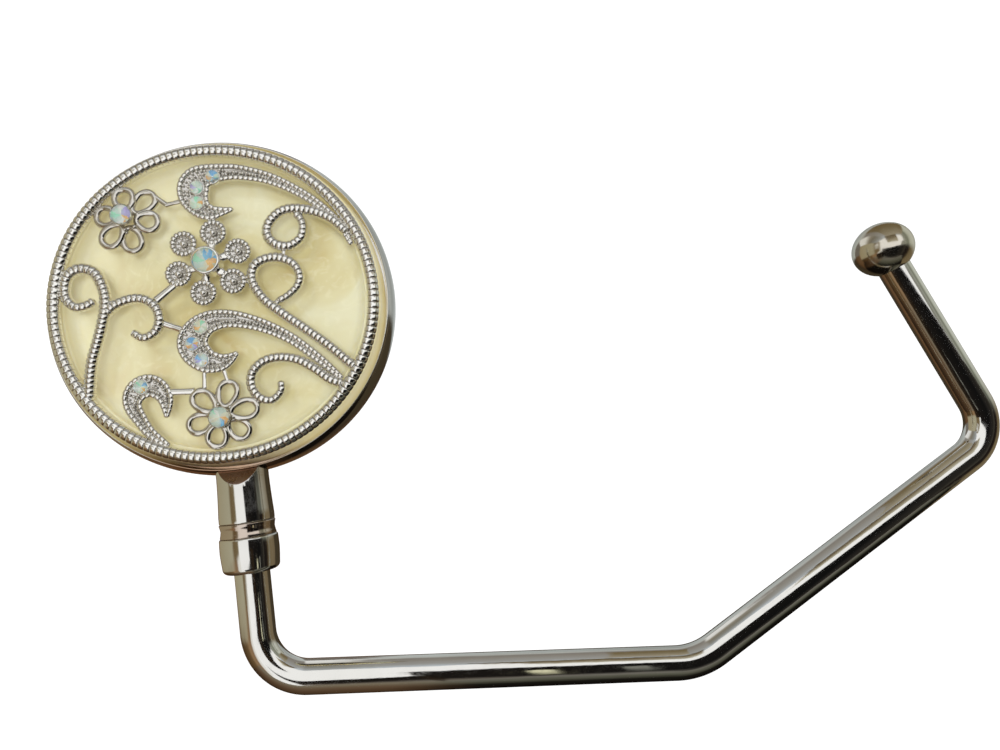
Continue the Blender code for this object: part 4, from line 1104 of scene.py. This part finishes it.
def toned_material(name, axis, span, tones, across=None, other_tones=None, wobble=0.0):
    """Light that runs through the tones along one axis; across another it fades to the other tones."""
    mat, tree, out = bare_material(name)
    mat.cycles.emission_sampling = "NONE"
    where = add_node(tree, "TexCoord").outputs["Object"]
    if wobble:
        drift = add_node(tree, "TexNoise", {"Scale": 55.0, "Vector": where}).outputs["Color"]
        moved = {0: drift, 1: (wobble, wobble, wobble), 2: where}
        where = add_node(tree, "VectorMath", moved, operation="MULTIPLY_ADD").outputs["Vector"]
    parts = add_node(tree, "SeparateXYZ", {"Vector": where}).outputs
    along = climb(tree, parts[axis], *span)
    colour = ramp(tree, along, tones)
    if other_tones:
        other_axis, start, end = across
        faded = climb(tree, parts[other_axis], start, end, course="SMOOTHSTEP")
        colour = mix(tree, faded, colour, ramp(tree, along, other_tones))
    put(out, {"Surface": add_node(tree, "Emission", {"Color": colour}).outputs[0]})
    return mat


def card(name, corners, *light, **more):
    """A panel of toned light that only polished surfaces see."""
    mesh = bpy.data.meshes.new(name)
    mesh.from_pydata([Vector(c) for c in corners], [], [tuple(range(len(corners)))])
    mesh.materials.append(toned_material(name, *light, **more))
    obj = new_object(name, mesh)
    obj.visible_camera = False
    obj.visible_diffuse = False
    obj.visible_shadow = False
    obj.visible_volume_scatter = False


def wall(name, start, end, bottom, top, *light, **more):
    """An upright card over the line from start to end."""
    card(name, flat([start, end], bottom) + flat([end, start], top), *light, **more)


def make_overhead_cards():
    """Cards over the part. The overhead one gives the runs their dark bands."""
    card(
        "card_overhead", flat([(-0.030, -0.145), (0.250, -0.145), (0.250, -0.008), (0.125, -0.008),
                               (0.100, -0.012), (0.018, -0.012), (0.018, -0.060), (0.000, -0.068),
                               (-0.030, -0.078)], CEILING_Z), X, (-0.030, 0.250),
        [(0.0, (0.015, 0.012, 0.010)), (0.60, 0.006), (0.72, (0.02, 0.018, 0.016)),
         (0.82, (0.02, 0.018, 0.015)), (1.0, (0.05, 0.045, 0.035))],
        (Y, -0.095, -0.138),
        [(0.0, (0.20, 0.16, 0.12)), (0.35, (0.17, 0.16, 0.14)), (0.55, (0.10, 0.09, 0.075)),
         (0.70, (0.03, 0.025, 0.02)), (1.0, (0.02, 0.014, 0.010))], wobble=0.020)
    card(
        "card_over_side", flat([(0.160, -0.007), (0.250, -0.007), (0.250, 0.060), (0.175, 0.020)], CEILING_Z),
        X, (0.160, 0.250),
        [(0.0, (0.60, 0.62, 0.56)), (0.3, (0.22, 0.22, 0.18)), (1.0, (0.34, 0.35, 0.30))], wobble=0.020)
    card(
        "card_over_left",
        flat([(-0.100, 0.010), (-0.022, 0.010), (-0.022, 0.080), (-0.100, 0.080)], CEILING_Z),
        Y, (0.010, 0.080),
        [(0.0, (0.75, 0.74, 0.70)), (0.4, (0.42, 0.40, 0.35)), (0.7, (0.50, 0.48, 0.42)),
         (1.0, (0.80, 0.80, 0.78))], wobble=0.030)
    card(
        "card_over_ball", flat([(0.066, 0.034), (0.140, 0.028), (0.150, 0.130), (0.050, 0.130)], 0.112),
        Y, (0.028, 0.130),
        [(0.0, (0.62, 0.60, 0.50)), (0.30, (0.40, 0.36, 0.26)), (0.6, (0.20, 0.16, 0.10)),
         (1.0, (0.12, 0.09, 0.05))], wobble=0.030)
    # Two small lights just over the long run, seen in it as soft breaks in the dark band
    for name, left, right, tone in (("card_glint_near", 0.0395, 0.0445, (0.75, 0.72, 0.50)),
                                    ("card_glint_far", 0.0590, 0.0640, (0.22, 0.22, 0.19))):
        faint = tuple(0.25 * v for v in tone)
        card(name, flat([(left, -0.082), (right, -0.082), (right, -0.050), (left, -0.050)], 0.060),
             Y, (-0.082, -0.050), [(0.0, faint), (0.7, tone), (1.0, tone)])
    # A dark strip beside the nearer one
    wall("card_glint_hood", (0.0455, -0.085), (0.0455, -0.048), 0.052, 0.0602,
         Z, (0.052, 0.0602), [(0.0, (0.008, 0.006, 0.005)), (1.0, (0.008, 0.006, 0.005))])


def make_walls():
    """Walls round the part and a card under it, with a small one behind the ball."""
    low = FLOOR_Z + 0.001
    wall(
        "card_behind_ball", (0.080, 0.050), (0.150, 0.050), -0.030, 0.055, Z, (-0.030, 0.055),
        [(0.0, (0.16, 0.11, 0.05)), (0.5, (0.20, 0.16, 0.09)), (1.0, (0.34, 0.30, 0.22))], wobble=0.020)
    wall(
        "card_screen", (0.018, -0.100), (0.018, -0.036), 0.046, 0.111, Z, (0.046, 0.110),
        [(0.0, (0.03, 0.02, 0.012)), (1.0, (0.008, 0.006, 0.005))])
    wall(
        "card_left", (LEFT, -0.20), (LEFT, 0.20), low, 0.27, Z, (FLOOR_Z, 0.27),
        [(0.0, (0.05, 0.028, 0.012)), (0.30, (0.09, 0.052, 0.022)), (0.50, (0.15, 0.09, 0.04)),
         (0.58, (0.30, 0.19, 0.10)), (0.76, (0.26, 0.16, 0.09)), (0.84, (0.85, 0.84, 0.80))],
        (Y, -0.085, -0.050),
        [(0.0, (0.34, 0.28, 0.17)), (0.35, (0.38, 0.34, 0.23)), (0.62, (0.42, 0.39, 0.28)),
         (0.70, (0.17, 0.12, 0.06)), (0.92, (0.20, 0.15, 0.08)), (1.0, (0.55, 0.53, 0.46))], wobble=0.020)
    wall(
        "card_front", (LEFT, FRONT), (RIGHT, FRONT), low, CEILING_Z, Z, (FLOOR_Z, CEILING_Z),
        [(0.0, (0.012, 0.008, 0.005)), (0.35, (0.05, 0.028, 0.014)), (0.60, (0.09, 0.052, 0.028)),
         (0.78, (0.14, 0.092, 0.055)), (0.93, (0.20, 0.165, 0.115)), (1.0, (0.20, 0.17, 0.12))],
        (X, 0.000, 0.030),
        [(0.0, (0.006, 0.004, 0.003)), (0.55, (0.006, 0.005, 0.004)), (0.68, (0.012, 0.011, 0.008)),
         (0.82, (0.095, 0.095, 0.070)), (0.95, (0.15, 0.145, 0.12)), (1.0, (0.17, 0.16, 0.14))], wobble=0.012)
    wall(
        "card_right", (RIGHT, -0.20), (RIGHT, 0.20), low, BACK, Z, (FLOOR_Z, BACK),
        [(0.0, (0.16, 0.12, 0.07)), (0.35, (0.20, 0.155, 0.09)), (0.58, (0.17, 0.13, 0.07)),
         (0.70, (0.02, 0.014, 0.010)), (0.9, (0.010, 0.008, 0.008)), (1.0, (0.02, 0.018, 0.015))],
        (Y, -0.030, 0.020),
        [(0.0, (0.10, 0.10, 0.08)), (0.20, (0.40, 0.40, 0.34)), (0.45, (0.58, 0.60, 0.54)),
         (0.62, (0.52, 0.54, 0.46)), (0.75, (0.22, 0.23, 0.18)), (1.0, (0.30, 0.31, 0.26))], wobble=0.015)
    wall(
        "card_back", (LEFT, BACK), (RIGHT, BACK), low, 0.162, Z, (FLOOR_Z, 0.162),
        [(0.0, 0.85), (0.35, (0.80, 0.80, 0.78)), (0.50, (0.30, 0.27, 0.22)),
         (0.62, (0.22, 0.20, 0.16)), (0.8, (0.28, 0.28, 0.26)), (1.0, (0.42, 0.44, 0.46))],
        (X, 0.010, 0.032),
        [(0.0, (0.50, 0.52, 0.50)), (0.14, (0.45, 0.46, 0.44)), (0.28, (0.24, 0.22, 0.20)),
         (0.45, (0.28, 0.26, 0.23)), (0.80, (0.36, 0.36, 0.35)), (1.0, (0.52, 0.57, 0.62))], wobble=0.015)
    card(
        "card_low", flat([(LEFT, FRONT), (RIGHT, FRONT), (RIGHT, BACK), (LEFT, BACK)], low), X, (LEFT, RIGHT),
        [(0.0, (0.17, 0.15, 0.13)), (0.38, (0.18, 0.16, 0.14)), (0.41, (0.52, 0.55, 0.54)),
         (0.52, (0.44, 0.47, 0.46)), (0.72, (0.34, 0.36, 0.35)), (1.0, (0.50, 0.52, 0.50))],
        (Y, 0.014, -0.008),
        [(0.0, (0.16, 0.09, 0.045)), (0.33, (0.12, 0.065, 0.03)), (0.45, (0.05, 0.032, 0.018)),
         (0.6, (0.055, 0.042, 0.024)), (1.0, (0.06, 0.046, 0.028))])


def make_world():
    """A white world, dimmer in the light that it throws on the part than where it is seen."""
    world = bpy.data.worlds.new("studio")
    bpy.context.scene.world = world
    world.use_nodes = True
    tree = world.node_tree
    strength = climb(tree, seen_rays(tree), 0.0, 1.0, 0.55, 1.0)
    put(tree.nodes["Background"], {"Color": (1.0, 1.0, 1.0), "Strength": strength})


def lamp(name, place, target, size, watts):
    data = bpy.data.lights.new(name, "AREA")
    data.shape = "RECTANGLE"
    data.size, data.size_y = size
    data.energy = watts
    obj = new_object(name, data)
    obj.location = place
    obj.rotation_euler = (Vector(target) - Vector(place)).to_track_quat("-Z", "Y").to_euler()
    obj.visible_camera = False
    obj.visible_glossy = False


def make_camera():
    """Placed and turned as solved from the photo."""
    right = Vector((0.9885, -0.1276, 0.0816)).normalized()
    ahead = Vector((0.0923, 0.0800, -0.9925)).normalized()
    right = (right - ahead * right.dot(ahead)).normalized()
    up = right.cross(ahead)
    data = bpy.data.cameras.new("camera")
    data.sensor_width = 36.0
    data.lens = 27.0
    data.clip_start, data.clip_end = 0.005, 20.0
    camera = new_object("camera", data)
    turn = Matrix((right, up, -ahead)).transposed().to_4x4()
    camera.matrix_world = Matrix.Translation((0.0260, -0.0218, 0.1065)) @ turn
    bpy.context.scene.camera = camera


make_floor()
make_overhead_cards()
make_walls()
make_world()
lamp("key_lamp", (-0.14, 0.20, 0.42), (0.01, 0.0, 0.0), (0.16, 0.13), 0.45)
lamp("front_fill", (0.03, -0.03, 0.42), (0.02, -0.01, 0.0), (0.12, 0.12), 0.95)
make_camera()
bpy.context.scene.view_settings.view_transform = "Standard"
